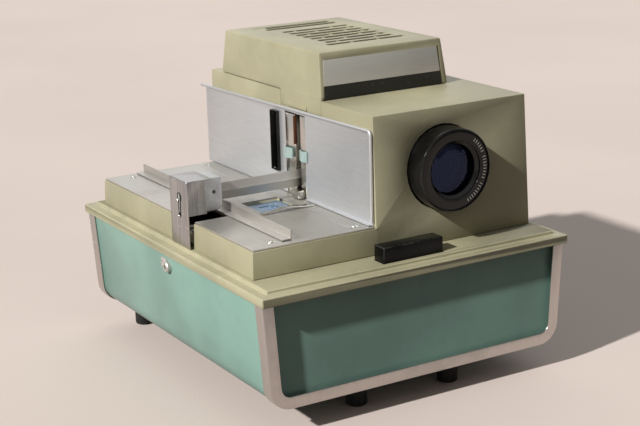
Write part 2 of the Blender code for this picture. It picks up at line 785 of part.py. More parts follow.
def make_deck():
    """Make the deck casting: a rim, a raised step, a lamp opening and the bar's well."""
    half_x = DECK_WIDTH / 2
    half_y = DECK_DEPTH / 2
    deck = box("deck", (-half_x, -half_y, DECK_BASE), (half_x, half_y, DECK_TOP), SHOP.cream)
    soften(deck, EDGE_ROUND)
    step = box("deck_step", (-half_x + STEP_INSET, -half_y + STEP_INSET, DECK_BASE + DECK_WALL),
               (half_x - STEP_INSET, half_y - STEP_INSET, PLATEAU))
    soften(step, EDGE_ROUND)
    inset = STEP_INSET + DECK_WALL
    pocket = box("deck_pocket", (-half_x + inset, -half_y + inset, DECK_BASE - OVERRUN),
                 (half_x - inset, half_y - inset, PLATEAU - DECK_WALL))
    lamp_hole = box("deck_lamp_hole", (LAMP_HOLE_LEFT, LAMP_HOLE_FRONT, DECK_BASE),
                    (LAMP_HOLE_RIGHT, LAMP_HOLE_REAR, PLATEAU + OVERRUN))
    well = box("deck_bar_well", (-BAR_HALF - SEAT, -BAR_FRONT - SEAT, DECK_BASE - OVERRUN),
               (BAR_HALF + SEAT, -BAR_FRONT + BAR_DEPTH + SEAT, PLATEAU + OVERRUN))
    add(deck, step)
    cut(deck, pocket, lamp_hole, well)


# Upper housing

def make_housing():
    """Make the upper casting: the low tray platform and the tall lamp box in one piece."""
    wall = CAST_WALL
    draft = HOUSING_FRONT_DRAFT, HOUSING_REAR_DRAFT
    share = PLATFORM_HEIGHT / HOUSING_HEIGHT
    housing = box("upper_housing", (-BAY_WALL, -HOUSING_FRONT, HOUSING_BASE),
                  (HOUSING_RIGHT, HOUSING_REAR, HOUSING_TOP), SHOP.cream,
                  (0, HOUSING_RIGHT_DRAFT, *draft))
    platform = box("platform", (-PLATFORM_LEFT, -HOUSING_FRONT, HOUSING_BASE),
                   (-BAY_WALL + wall / 2, HOUSING_REAR, PLATFORM_TOP), None,
                   (PLATFORM_LEFT_DRAFT, 0, draft[0] * share, draft[1] * share))
    add(housing, platform)
    soften(housing, HOUSING_ROUND)
    room_share = (HOUSING_HEIGHT + OVERRUN - wall) / HOUSING_HEIGHT
    room = box("lamp_room", (-BAY_WALL + wall, -HOUSING_FRONT + wall, HOUSING_BASE - OVERRUN),
               (HOUSING_RIGHT - wall, HOUSING_REAR - wall, HOUSING_TOP - wall), None,
               (0, HOUSING_RIGHT_DRAFT * room_share, draft[0] * room_share,
                draft[1] * room_share))
    low_room = box("platform_room",
                   (-PLATFORM_LEFT + PLATFORM_LEFT_DRAFT + wall,
                    -HOUSING_FRONT + draft[0] * share + wall, HOUSING_BASE - OVERRUN),
                   (-BAY_WALL, HOUSING_REAR - draft[1] * share - wall, PLATFORM_TOP - wall))
    cut(housing, room, low_room)
    cut(housing, box("cover_opening",
                     (-BAY_WALL + COVER_LEDGE, -COVER_FRONT + COVER_LEDGE, HOUSING_TOP - OVERRUN),
                     (COVER_RIGHT - COVER_LEDGE, COVER_REAR - COVER_LEDGE,
                      HOUSING_TOP + OVERRUN)))
    cut(housing, box("tongue_notch",
                     (-BAY_WALL - OVERRUN, -COVER_FRONT - SEAT, COVER_BASE - TONGUE_DROP - SEAT),
                     (-BAY_WALL + COVER_LEDGE + SEAT, TONGUE_REAR + SEAT, HOUSING_TOP + OVERRUN)))
    cut(housing, rod("lens_bore", (LENS_X, -HOUSING_FRONT - OVERRUN, LENS_Z), LENS_OPENING,
                     OVERRUN + wall + HOUSING_FRONT_DRAFT + OVERRUN, "Y"))
    for name, low_y, high_y, low_z, high_z in (
            ("gate", -GATE_FRONT, GATE_REAR, GATE_SILL, GATE_GUIDE_TOP + GATE_LINTEL),
            ("vent", VENT_FRONT, VENT_FRONT + VENT_WIDTH, BED_TOP + VENT_SILL,
             BED_TOP + VENT_SILL + VENT_HEIGHT),
            ("track", TRACK_FRONT - SEAT, TRACK_REAR + SEAT, HOUSING_BASE - OVERRUN,
             TRACK_BASE + TRACK_HEIGHT + SEAT)):
        cut(housing, box(f"bay_{name}_opening", (-BAY_WALL - OVERRUN, low_y, low_z),
                         (-BAY_WALL + wall + SEAT, high_y, high_z)))
    cut(housing, box("changer_notch",
                     (-PLATFORM_LEFT - OVERRUN, -HANDLE_FRONT - NOTCH_SIDE_GAP,
                      HOUSING_BASE - OVERRUN),
                     (-PLATFORM_LEFT + NOTCH_DEPTH, -HANDLE_FRONT + HANDLE_WIDTH + NOTCH_SIDE_GAP,
                      PLATFORM_TOP + OVERRUN)))
    cut(housing, box("index_recess", (-TROUGH_LEFT, -TROUGH_FRONT, PLATFORM_TOP - wall
                                      + TROUGH_FLOOR),
                     (-TROUGH_RIGHT, -TROUGH_REAR, PLATFORM_TOP + OVERRUN)))
    for i in range(REAR_LOUVRES):
        x = REAR_LOUVRE_LEFT + i * REAR_LOUVRE_PITCH
        cut(housing, box(f"rear_louvre_{i}",
                         (x, HOUSING_REAR - HOUSING_REAR_DRAFT - wall - OVERRUN,
                          HOUSING_BASE + REAR_LOUVRE_LOW),
                         (x + REAR_LOUVRE_WIDTH, HOUSING_REAR + OVERRUN,
                          HOUSING_BASE + REAR_LOUVRE_HIGH)))


# Lamp cover

def cover_front(height):
    """Return the Y of the lamp cover's sloped front face at a height above its base."""
    return -COVER_FRONT + COVER_FRONT_DRAFT * height / COVER_HEIGHT


def face_section(near, far, low, high):
    """Return a slanted YZ outline between two depths behind the cover's front face."""
    return [(cover_front(low) + near, COVER_BASE + low),
            (cover_front(low) + far, COVER_BASE + low),
            (cover_front(high) + far, COVER_BASE + high),
            (cover_front(high) + near, COVER_BASE + high)]


def make_cover():
    """Make the lift-off lamp cover with its grille, side tongue and bare front plate."""
    drafts = COVER_LEFT_DRAFT, COVER_SIDE_DRAFT, COVER_FRONT_DRAFT, COVER_REAR_DRAFT
    cover = box("lamp_cover", (-BAY_WALL, -COVER_FRONT, COVER_BASE),
                (COVER_RIGHT, COVER_REAR, COVER_TOP), SHOP.cream, drafts)
    soften(cover, COVER_ROUND)
    tongue = box("cover_tongue", (-BAY_WALL, -COVER_FRONT, COVER_BASE - TONGUE_DROP),
                 (-BAY_WALL + COVER_WALL, TONGUE_REAR, COVER_BASE + COVER_WALL))
    tab_low = COVER_BASE - TAB_BASE
    tab = box("cover_tab", (-BAY_WALL - TAB_RISE, -TAB_FRONT, tab_low),
              (-BAY_WALL + COVER_WALL / 2, TAB_REAR, tab_low + TAB_HEIGHT))
    share = (COVER_HEIGHT - COVER_WALL + OVERRUN) / COVER_HEIGHT
    backing = COVER_WALL + FACE_BACKING
    hollow = box("cover_hollow",
                 (-BAY_WALL + COVER_WALL, -COVER_FRONT + backing, COVER_BASE - OVERRUN),
                 (COVER_RIGHT - COVER_WALL, COVER_REAR - COVER_WALL, COVER_TOP - COVER_WALL),
                 None, tuple(draft * share for draft in drafts))
    cut(cover, hollow)
    add(cover, tongue, tab)
    low = FACE_PLATE_LIFT
    high = FACE_PLATE_LIFT + FACE_PLATE_HEIGHT
    cut(cover, plate("face_recess", [face_section(-OVERRUN, FACE_RECESS, low, high)], "YZ",
                     -FACE_PLATE_LEFT, FACE_PLATE_RIGHT))
    face = [face_section(FACE_RECESS - SEAT - FACE_PLATE_WALL, FACE_RECESS - SEAT,
                         low + SEAT, high - SEAT)]
    face_plate = plate("cover_plate", face, "YZ", -FACE_PLATE_LEFT + SEAT,
                       FACE_PLATE_RIGHT - SEAT, SHOP.aluminium)
    z_low = COVER_TOP - COVER_WALL - OVERRUN
    z_high = COVER_TOP + OVERRUN
    segment = (GRILLE_WIDTH - GRILLE_BRIDGES * GRILLE_BRIDGE) / (GRILLE_BRIDGES + 1)
    for row in range(GRILLE_ROWS):
        y = -GRILLE_FRONT + row * GRILLE_PITCH
        shift = GRILLE_STAGGER if row % 2 else 0
        edges = [GRILLE_LEFT]
        for bridge in range(1, GRILLE_BRIDGES + 1):
            edge = GRILLE_LEFT + bridge * (segment + GRILLE_BRIDGE) - GRILLE_BRIDGE + shift
            edges += [edge, edge + GRILLE_BRIDGE]
        edges.append(GRILLE_LEFT + GRILLE_WIDTH)
        for part in range(GRILLE_BRIDGES + 1):
            cut(cover, box(f"grille_{row}_{part}", (edges[2 * part], y, z_low),
                           (edges[2 * part + 1], y + GRILLE_SLOT, z_high)))
    for row in range(REAR_SLOTS):
        x = REAR_SLOT_LEFT + (REAR_SLOTS - 1 - row) * REAR_SLOT_STAGGER - REAR_SLOT_STAGGER
        y = REAR_SLOT_START + row * REAR_SLOT_PITCH
        cut(cover, box(f"rear_slot_{row}", (x, y, z_low),
                       (x + REAR_SLOT_WIDTH, y + REAR_SLOT, z_high)))
    hang("cover_lift", (0, 0, COVER_BASE), cover, face_plate)


# Tray channel

def liner_top(y):
    """Return the height of the liner's top edge, which falls towards the rear."""
    front = LINER_BASE + LINER_FRONT_HEIGHT
    rear = LINER_BASE + LINER_REAR_HEIGHT
    return front + (rear - front) * (y + LINER_FRONT) / (LINER_REAR + LINER_FRONT)


def make_liner():
    """Make the wall sheet beside the trays, with its gate and vent openings and rolled bead."""
    corner = LINER_CORNER
    edge = [(-LINER_FRONT, LINER_BASE), (LINER_REAR, LINER_BASE), (LINER_REAR, liner_top(LINER_REAR))]
    edge += arc((-LINER_FRONT + corner, liner_top(-LINER_FRONT + corner) - corner), corner,
                pi / 2, pi)
    liner = plate("bay_liner", [edge], "YZ", LINER_OUTER, LINER_INNER, SHOP.aluminium)
    x = LINER_OUTER - BEAD_RADIUS / 2
    inset = BEAD_RADIUS / 5
    line = [(x, -LINER_FRONT + inset, LINER_BASE + LINER_FOOT)]
    centre = (-LINER_FRONT + corner, liner_top(-LINER_FRONT + corner) - corner)
    line += [(x, y, z) for y, z in arc(centre, corner - inset, pi, pi / 2)]
    line.append((x, LINER_REAR + BEAD_OVERHANG, liner_top(LINER_REAR + BEAD_OVERHANG) - inset))
    foot = box("liner_foot", (LINER_OUTER - LINER_FOOT, -LINER_FRONT + BEAD_RADIUS, LINER_BASE),
               (LINER_INNER - LINER_WALL / 2, -GATE_FRONT - LINER_FOOT, LINER_BASE + LINER_WALL))
    add(liner, foot, wire("liner_bead", line, BEAD_RADIUS))
    near = LINER_OUTER - OVERRUN
    far = LINER_INNER + OVERRUN
    vent = rectangle((VENT_FRONT, BED_TOP + VENT_SILL),
                     (VENT_FRONT + VENT_WIDTH, BED_TOP + VENT_SILL + VENT_HEIGHT), VENT_WIDTH / 6)
    cut(liner, box("gate_opening", (near, -GATE_FRONT, GATE_SILL),
                   (far, GATE_REAR, GATE_GUIDE_TOP + GATE_LINTEL / 2)),
        plate("vent_opening", [vent], "YZ", near, far))


def make_bed():
    """Make the tray bed sheet, its guide rail, the index plate and the detent spring."""
    left = -PLATFORM_LEFT + PLATFORM_LEFT_DRAFT + BED_EDGE
    front = front_of(PLATFORM_TOP) + BED_EDGE
    rear = HOUSING_REAR - HOUSING_REAR_DRAFT * PLATFORM_HEIGHT / HOUSING_HEIGHT - BED_EDGE
    notch_front = -HANDLE_FRONT - NOTCH_SIDE_GAP
    notch_rear = -HANDLE_FRONT + HANDLE_WIDTH + NOTCH_SIDE_GAP
    notch = -PLATFORM_LEFT + NOTCH_DEPTH
    edge = [(left, front), (LINER_INNER, front), (LINER_INNER, rear), (left, rear),
            (left, notch_rear), (notch, notch_rear), (notch, notch_front), (left, notch_front)]
    trough = rectangle((-TROUGH_LEFT, -TROUGH_FRONT), (-TROUGH_RIGHT, -TROUGH_REAR))
    bed = plate("tray_bed", [edge, trough], "XY", BED_BASE, BED_TOP, SHOP.aluminium)
    for row, side in enumerate((-SKID_OUTER, -SKID_INNER)):
        for column, (start, end) in enumerate(((-SKID_FRONT, -SKID_FRONT_END),
                                               (SKID_REAR_START, SKID_REAR))):
            add(bed, box(f"tray_skid_{row}_{column}", (side, start, BED_TOP - SHEET / 2),
                         (side + SKID_WIDTH, end, BED_TOP + SKID_RISE)))
    base = BED_TOP + SEAT
    left = -RAIL_LEFT
    right = left + RAIL_WIDTH
    profile = [(left, base), (right, base), (right, base + RAIL_HEIGHT),
               (right - SHEET, base + RAIL_HEIGHT), (right - SHEET, base + SHEET),
               (left, base + SHEET)]
    plate("tray_rail", [profile], "XZ", -RAIL_FRONT, RAIL_REAR, SHOP.aluminium)
    floor = PLATFORM_TOP - CAST_WALL + TROUGH_FLOOR + SEAT
    index_front = -TROUGH_FRONT + 2 * SEAT
    index = box("index_slide", (-TROUGH_LEFT + 2 * SEAT, index_front, floor),
                (-TROUGH_RIGHT - 2 * SEAT, index_front + INDEX_LENGTH, floor + SHEET),
                SHOP.steel)
    middle = -(TROUGH_LEFT + TROUGH_RIGHT) / 2
    tooth_y = index_front + INDEX_LENGTH / 2
    tooth = box("index_tooth", (middle - INDEX_TOOTH, tooth_y - INDEX_TOOTH / 2, floor + SHEET / 2),
                (middle + INDEX_TOOTH, tooth_y + INDEX_TOOTH / 2,
                 BED_TOP + INDEX_TOOTH_HEIGHT))
    window = box("index_window", (middle - INDEX_TOOTH * 3, tooth_y + INDEX_TOOTH * 1.5,
                                  floor - OVERRUN),
                 (middle + INDEX_TOOTH * 3, tooth_y + INDEX_TOOTH * 3.5, floor + OVERRUN))
    add(index, tooth)
    cut(index, window)
    hang("index_travel", (middle, tooth_y, floor), index)
    left = -TROUGH_LEFT - INDEX_TOOTH
    length = -DETENT_RIGHT - left
    steps = 2 * ARC_STEPS
    lower = []
    for i in range(steps + 1):
        share = i / steps
        lower.append((left + length * share, base + DETENT_RISE * sin(pi * share) ** 4))
    upper = [(x, z + DETENT_WALL) for x, z in reversed(lower)]
    strip_rear = -TROUGH_FRONT - SEAT
    plate("detent_spring", [lower + upper], "XZ", strip_rear - DETENT_WIDTH, strip_rear,
          SHOP.steel)


# Slide gate

def make_guides():
    """Make the two polished guides in the gate opening and their plastic fingers."""
    slit_rear = -SLIDE_PLANE + GATE_SLIT / 2
    slit_front = -SLIDE_PLANE - GATE_SLIT / 2
    wall = GUIDE_WALL
    flange_rear = GATE_REAR - GUIDE_GAP
    rear = [(LINER_OUTER, slit_rear), (GUIDE_END, slit_rear), (GUIDE_END, slit_rear + wall),
            (LINER_OUTER + wall, slit_rear + wall), (LINER_OUTER + wall, flange_rear),
            (LINER_OUTER - GUIDE_LIP, flange_rear), (LINER_OUTER - GUIDE_LIP, flange_rear - wall),
            (LINER_OUTER, flange_rear - wall)]
    plate("gate_guide_rear", [rear], "XY", GATE_SILL + SEAT, GATE_GUIDE_TOP, SHOP.steel)
    flange_front = -GATE_FRONT + SEAT
    front = [(LINER_OUTER, slit_front), (LINER_OUTER, flange_front),
             (LINER_OUTER + wall, flange_front), (LINER_OUTER + wall, slit_front - wall),
             (GUIDE_END, slit_front - wall), (GUIDE_END, slit_front)]
    plate("gate_guide_front", [front], "XY", GATE_SILL + SEAT, GATE_GUIDE_TOP + SEAT,
          SHOP.steel)
    low = FINGER_BASE
    for name, near, far in (("gate_finger_rear", slit_rear + SEAT, FINGER_REAR_END),
                            ("gate_finger_front", -FINGER_FRONT_END, slit_front - SEAT)):
        x = LINER_OUTER - SEAT - (GUIDE_LIP if far > flange_rear else 0)
        outer = []
        steps = 2 * ARC_STEPS
        for i in range(steps + 1):
            share = i / steps
            outer.append((x - FINGER_WALL - FINGER_BOW * sin(pi * share) ** 2,
                          near + (far - near) * share))
        inner = [(px + FINGER_WALL, py) for px, py in reversed(outer)]
        plate(name, [outer + inner], "XY", low, low + FINGER_HEIGHT, SHOP.aqua)
    block = box("gate_block", (-TRACK_BLOCK_LEFT, -TRACK_BLOCK_FRONT, LINER_BASE),
                (LINER_OUTER - SEAT, -TRACK_BLOCK_REAR, LINER_BASE + TRACK_BLOCK_HEIGHT),
                SHOP.nylon)
    soften(block, TRACK_BLOCK_ROUND)


def make_slide_gate():
    """Make the gate frame behind the guides, with its slide channel, aperture and legs."""
    gate = box("slide_gate", (FRAME_LEFT, FRAME_FRONT, SLIDE_FLOOR - FRAME_FLOOR),
               (FRAME_RIGHT, FRAME_REAR, FRAME_TOP), SHOP.satin)
    for name, x in (("left", FRAME_LEFT), ("right", FRAME_RIGHT - FRAME_LEG)):
        add(gate, box(f"gate_leg_{name}", (x, FRAME_FRONT, PLATEAU + SEAT),
                      (x + FRAME_LEG, FRAME_REAR, SLIDE_FLOOR - FRAME_FLOOR / 2)))
    cut(gate, box("slide_channel", (FRAME_LEFT - OVERRUN, SLOT_FRONT, SLIDE_FLOOR),
                  (FRAME_RIGHT - FRAME_END, SLOT_REAR, FRAME_TOP + OVERRUN)))
    half = APERTURE / 2
    cut(gate, box("aperture", (LENS_X - half, FRAME_FRONT - OVERRUN, LENS_Z - half),
                  (LENS_X + half, FRAME_REAR + OVERRUN, LENS_Z + half)))


# Slide changer

def make_changer():
    """Make the hand changer: folded handle, slider block, slide arm, runner and its track."""
    outer = -HANDLE_FACE
    sheet = HANDLE_SHEET
    front = -HANDLE_FRONT
    base = HOUSING_BASE + SEAT
    rear = front + HANDLE_WIDTH
    handle = box("changer_handle", (outer, front, base),
                 (outer + HANDLE_DEPTH, rear, HANDLE_TOP), SHOP.nickel)
    soften(handle, sheet / 2)
    far = outer + HANDLE_DEPTH + OVERRUN
    flange_low = HANDLE_TOP - HANDLE_FLANGE_HEIGHT
    cut(handle,
        box("handle_inside", (outer + sheet, front + sheet, base - OVERRUN),
            (far, rear + OVERRUN, HANDLE_TOP - sheet)),
        box("handle_below", (outer + sheet, front - OVERRUN, base - OVERRUN),
            (far, front + sheet + OVERRUN, flange_low)),
        box("handle_beside", (outer + HANDLE_FLANGE, front - OVERRUN, flange_low - OVERRUN),
            (far, front + sheet + OVERRUN, HANDLE_TOP - sheet)))
    radius = KEYHOLE_RADIUS
    spread = asin(KEYHOLE_SLOT / 2 / radius)
    top = KEYHOLE_TOP - radius
    hole = arc((-KEYHOLE_Y, top), radius, -pi / 2 + spread, 3 * pi / 2 - spread, 3 * ARC_STEPS)
    hole += arc((-KEYHOLE_Y, KEYHOLE_BASE + KEYHOLE_SLOT / 2), KEYHOLE_SLOT / 2, pi, 2 * pi)
    cut(handle, plate("keyhole", [hole], "YZ", outer - OVERRUN, outer + sheet + OVERRUN))
    top = HANDLE_TOP - sheet - SEAT
    block_left = -BLOCK_RIGHT - BLOCK_WIDTH
    profile = [(block_left, top - BLOCK_HEIGHT)]
    profile += arc((-BLOCK_RIGHT - BLOCK_ROUND, top - BLOCK_HEIGHT + BLOCK_ROUND), BLOCK_ROUND,
                   -pi / 2, 0)
    profile += [(-BLOCK_RIGHT, top), (block_left, top)]
    block = plate("changer_block", [profile], "XZ", -BLOCK_FRONT, -BLOCK_FRONT + BLOCK_DEPTH,
                  SHOP.nylon)
    arm_base = SLIDE_FLOOR + ARM_LIFT
    half = ARM_SHEET / 2
    middle = arm_base + ARM_HEIGHT / 2
    line = [(0, arm_base), (0, middle - ARM_CREASE), (-ARM_CREASE / 2, middle),
            (0, middle + ARM_CREASE), (0, arm_base + ARM_HEIGHT)]
    section = [(-SLIDE_PLANE + y + half, z) for y, z in line]
    section += [(-SLIDE_PLANE + y - half, z) for y, z in reversed(line)]
    root = -BLOCK_RIGHT - ARM_ROOT
    arm = plate("changer_arm", [section], "YZ", root, ARM_END, SHOP.steel)
    cut(block, box("arm_seat", (root - SEAT, -SLIDE_PLANE - half - ARM_CREASE / 2 - SEAT,
                                arm_base - SEAT),
                   (-BLOCK_RIGHT + OVERRUN, -SLIDE_PLANE + half + SEAT,
                    arm_base + ARM_HEIGHT + SEAT)))
    cut(block, rod("block_hole", (-BLOCK_RIGHT - BLOCK_HOLE_INSET, -BLOCK_FRONT - OVERRUN,
                                  arm_base + ARM_HEIGHT - BLOCK_HOLE_DROP), BLOCK_HOLE,
                   OVERRUN + BLOCK_HOLE_DEPTH, "Y", steps=ROUND_STEPS // 2))
    runner = box("changer_runner", (outer + sheet + SEAT, TRACK_FRONT + TRACK_SIDE + SEAT,
                                    RUNNER_BASE),
                 (-TRACK_END - RUNNER_END_GAP, TRACK_REAR - TRACK_SIDE - SEAT,
                  RUNNER_BASE + RUNNER_HEIGHT), SHOP.steel)
    base = TRACK_BASE
    top = TRACK_BASE + TRACK_HEIGHT
    inner_top = RUNNER_BASE + RUNNER_HEIGHT + SEAT
    half_slot = TRACK_SLOT / 2
    centre = (TRACK_FRONT + TRACK_REAR) / 2
    channel = [(TRACK_FRONT, base), (TRACK_REAR, base), (TRACK_REAR, top),
               (centre + half_slot, top), (centre + half_slot, inner_top),
               (TRACK_REAR - TRACK_SIDE, inner_top),
               (TRACK_REAR - TRACK_SIDE, RUNNER_BASE - SEAT),
               (TRACK_FRONT + TRACK_SIDE, RUNNER_BASE - SEAT),
               (TRACK_FRONT + TRACK_SIDE, inner_top), (centre - half_slot, inner_top),
               (centre - half_slot, top), (TRACK_FRONT, top)]
    plate("changer_track", [channel], "YZ", -TRACK_START, -TRACK_END, SHOP.aluminium)
    hang("changer_pull", (outer, -SLIDE_PLANE, RUNNER_BASE), handle, block, arm, runner)


# Lens

def lens_profile(radius, edge, front_bulge, rear_bulge=0):
    """Return a glass profile: round front, edge, and a round or flat rear."""
    steps = ARC_STEPS // 2
    profile = [(radius * i / steps, edge + front_bulge * (1 - (i / steps) ** 2))
               for i in range(steps + 1)]
    if rear_bulge:
        profile += [(radius * i / steps, -rear_bulge * (1 - (i / steps) ** 2))
                    for i in range(steps, -1, -1)]
    else:
        profile += [(radius, 0), (0, 0)]
    return profile


def make_lens():
    """Make the projection lens and the tube that it slides and turns in."""
    axis_rear = (LENS_X, -BARREL_REAR, LENS_Z)
    length = BARREL_LENGTH
    ring_floor = length - RING_DEPTH - RING_WALL - SEAT
    front_seat = length - FRONT_SEAT_DEPTH
    stop = length - FRONT_SEAT_DEPTH - BARREL_CONE
    seat = FRONT_GLASS_RADIUS + SEAT
    rear_seat = REAR_GLASS_RADIUS + SEAT
    profile = [(RING_OUTER + SEAT, length), (BARREL_RADIUS - BARREL_CHAMFER, length),
               (BARREL_RADIUS, length - BARREL_CHAMFER), (BARREL_RADIUS, 0), (rear_seat, 0),
               (rear_seat, REAR_SEAT_DEPTH), (BARREL_STOP_RADIUS, REAR_SEAT_DEPTH),
               (BARREL_STOP_RADIUS, stop), (FRONT_GLASS_RADIUS - SEAT * 6, front_seat),
               (seat, front_seat), (seat, ring_floor), (RING_OUTER + SEAT, ring_floor)]
    barrel = turned("lens_barrel", profile, axis_rear, "-Y", SHOP.black, LENS_STEPS)
    ring_profile = [(RING_INNER, RING_WALL), (RING_OUTER, RING_WALL), (RING_OUTER, 0),
                    (RING_INNER, 0)]
    ring_y = -BARREL_FRONT + RING_DEPTH + RING_WALL
    ring = turned("lens_front_ring", ring_profile, (LENS_X, ring_y, LENS_Z), "-Y", SHOP.satin,
                  LENS_STEPS)
    front_y = -BARREL_REAR - front_seat - SEAT
    front = turned("front_glass", lens_profile(FRONT_GLASS_RADIUS, FRONT_GLASS_EDGE,
                                               FRONT_GLASS_BULGE),
                   (LENS_X, front_y, LENS_Z), "-Y", SHOP.glass)
    rear_y = -BARREL_REAR - REAR_SEAT_DEPTH + SEAT
    rear = turned("rear_glass", lens_profile(REAR_GLASS_RADIUS, REAR_GLASS_EDGE,
                                             REAR_GLASS_BULGE),
                  (LENS_X, rear_y, LENS_Z), "Y", SHOP.glass)
    tube = BARREL_RADIUS + BARREL_PLAY
    outer = tube + MOUNT_WALL
    depth = MOUNT_FRONT - MOUNT_REAR
    mount = [(tube, depth), (MOUNT_FLANGE, depth), (MOUNT_FLANGE, depth - MOUNT_FLANGE_WALL),
             (outer, depth - MOUNT_FLANGE_WALL), (outer, 0), (tube, 0)]
    turned("lens_mount", mount, (LENS_X, -MOUNT_REAR, LENS_Z), "-Y", SHOP.aluminium, LENS_STEPS)
    sleeve = [(REAR_GLASS_RADIUS, SLEEVE_LENGTH), (BARREL_RADIUS, SLEEVE_LENGTH),
              (BARREL_RADIUS, 0), (REAR_GLASS_RADIUS, 0)]
    sleeve = turned("focus_sleeve", sleeve, (LENS_X, -BARREL_REAR + SLEEVE_LENGTH + SEAT, LENS_Z),
                    "-Y", SHOP.aluminium, LENS_STEPS)
    hang("focus_travel", axis_rear, sleeve)
    hang("focus_turn", axis_rear, barrel, ring, front, rear)


# Lamp and condenser

def make_lamp():
    """Make the lamp with its base, socket and hanging bracket."""
    bracket_top = PLATEAU - DECK_WALL - SEAT
    left = LAMP_HOLE_LEFT - LAMP_BRACKET_MARGIN
    right = LAMP_HOLE_RIGHT + LAMP_BRACKET_MARGIN
    wall = LAMP_BRACKET_WALL
    foot = LAMP_BRACKET_FOOT
    low = LAMP_BRACKET_BASE - wall
    strap = [(left, low), (right, low), (right, bracket_top - wall),
             (right + foot, bracket_top - wall), (right + foot, bracket_top),
             (right - wall, bracket_top), (right - wall, LAMP_BRACKET_BASE),
             (left + wall, LAMP_BRACKET_BASE), (left + wall, bracket_top),
             (left - foot, bracket_top), (left - foot, bracket_top - wall),
             (left, bracket_top - wall)]
    half = LAMP_BRACKET_DEPTH / 2
    plate("lamp_bracket", [strap], "XZ", LAMP_Y - half, LAMP_Y + half, SHOP.steel)
    socket_base = LAMP_BRACKET_BASE + SEAT
    bore = BASE_RADIUS + SEAT
    socket = [(0, SOCKET_FLOOR), (bore, SOCKET_FLOOR), (bore, SOCKET_HEIGHT),
              (SOCKET_RADIUS, SOCKET_HEIGHT), (SOCKET_RADIUS, 0), (0, 0)]
    turned("lamp_socket", socket, (LENS_X, LAMP_Y, socket_base), "Z", SHOP.ceramic)
    base_z = socket_base + SOCKET_FLOOR + SEAT
    flange = SOCKET_HEIGHT - SOCKET_FLOOR
    cup_top = flange + BASE_FLANGE_WALL + BASE_CUP_HEIGHT
    cup_floor = cup_top - BASE_CUP
    cup = BULB_NECK + SEAT
    base = [(0, cup_floor), (cup, cup_floor), (cup, cup_top), (BASE_CUP_RADIUS, cup_top),
            (BASE_CUP_RADIUS, flange + BASE_FLANGE_WALL),
            (BASE_FLANGE, flange + BASE_FLANGE_WALL), (BASE_FLANGE, flange),
            (BASE_RADIUS, flange), (BASE_RADIUS, 0), (0, 0)]
    turned("lamp_base", base, (LENS_X, LAMP_Y, base_z), "Z", SHOP.steel)
    bulb_z = base_z + cup_floor + SEAT
    height = BULB_TOP - bulb_z
    neck = BASE_CUP + BULB_NECK_LENGTH
    shoulder = neck + BULB_SHOULDER
    dome = height - BULB_RADIUS
    skin = BULB_WALL
    outline = arc((0, dome), BULB_RADIUS, pi / 2, 0)
    outline += [(BULB_RADIUS, shoulder), (BULB_NECK, neck), (BULB_NECK, 0),
                (BULB_NECK - skin, 0), (BULB_NECK - skin, neck), (BULB_RADIUS - skin, shoulder)]
    outline += arc((0, dome), BULB_RADIUS - skin, 0, pi / 2)
    outline[0] = (0, height)
    outline[-1] = (0, height - skin)
    turned("lamp_bulb", outline, (LENS_X, LAMP_Y, bulb_z), "Z", SHOP.glass)


def make_lamp_house():
    """Make the heat shield round the lamp, the mirror behind it and the condenser cell."""
    lap = CHIMNEY_LAP
    wall = CHIMNEY_WALL
    low = (LAMP_HOLE_LEFT - lap, LAMP_HOLE_FRONT - lap)
    high = (LAMP_HOLE_RIGHT + lap, LAMP_HOLE_REAR + lap)
    inner = rectangle((low[0] + wall, low[1] + wall), (high[0] - wall, high[1] - wall))
    shield = plate("lamp_house", [rectangle(low, high), inner], "XY", PLATEAU + SEAT,
                   CHIMNEY_TOP, SHOP.steel)
    cut(shield, rod("light_window", (LENS_X, low[1] - OVERRUN, LENS_Z), CHIMNEY_WINDOW,
                    OVERRUN + OVERRUN, "Y"))
    back = high[1] - wall - SEAT
    steps = ARC_STEPS
    bowl = MIRROR_BOSS_LENGTH
    front = [(MIRROR_RADIUS * i / steps, bowl + MIRROR_WALL + MIRROR_DEPTH * (i / steps) ** 2)
             for i in range(steps + 1)]
    rear = [(radius, height - MIRROR_WALL) for radius, height in reversed(front)
            if radius > MIRROR_BOSS]
    dish = front + rear + [(MIRROR_BOSS, bowl), (MIRROR_BOSS, 0), (0, 0)]
    turned("reflector", dish, (LENS_X, back, LENS_Z), "-Y", SHOP.mirror)
    bore = CELL_BORE
    outer = bore + CELL_WALL
    cell = rod("condenser_cell", (LENS_X, 0, LENS_Z), outer, CELL_DEPTH, "Y", SHOP.satin)
    half = CELL_POST_WIDTH / 2
    middle = CELL_DEPTH / 2
    add(cell, box("cell_post", (LENS_X - half, middle - CELL_POST_DEPTH / 2, PLATEAU + SEAT),
                  (LENS_X + half, middle + CELL_POST_DEPTH / 2, LENS_Z - bore)))
    cut(cell, rod("cell_bore", (LENS_X, -OVERRUN, LENS_Z), bore,
                  CELL_DEPTH + OVERRUN + OVERRUN, "Y"))
    radius = bore - SEAT
    lens = lens_profile(radius, CONDENSER_EDGE, CONDENSER_BULGE)
    turned("condenser_front", lens, (LENS_X, CONDENSER_PLACE, LENS_Z), "Y", SHOP.glass)
    turned("condenser_rear", lens, (LENS_X, CELL_DEPTH - CONDENSER_PLACE, LENS_Z), "-Y",
           SHOP.glass)
    rod("heat_glass", (LENS_X, middle - HEAT_GLASS_WALL / 2, LENS_Z), radius, HEAT_GLASS_WALL,
        "Y", SHOP.glass)


# Blower

def volute(start, growth):
    """Return a spiral YZ outline with a tail that opens to the rear, low down."""
    points = []
    steps = 6 * ARC_STEPS
    for i in range(steps + 1):
        share = i / steps
        angle = -pi / 2 - 3 * pi / 2 * share * FAN_WRAP_SHARE
        radius = start + growth * (1 - share)
        points.append((FAN_Y + radius * cos(angle), FAN_Z + radius * sin(angle)))
    return points


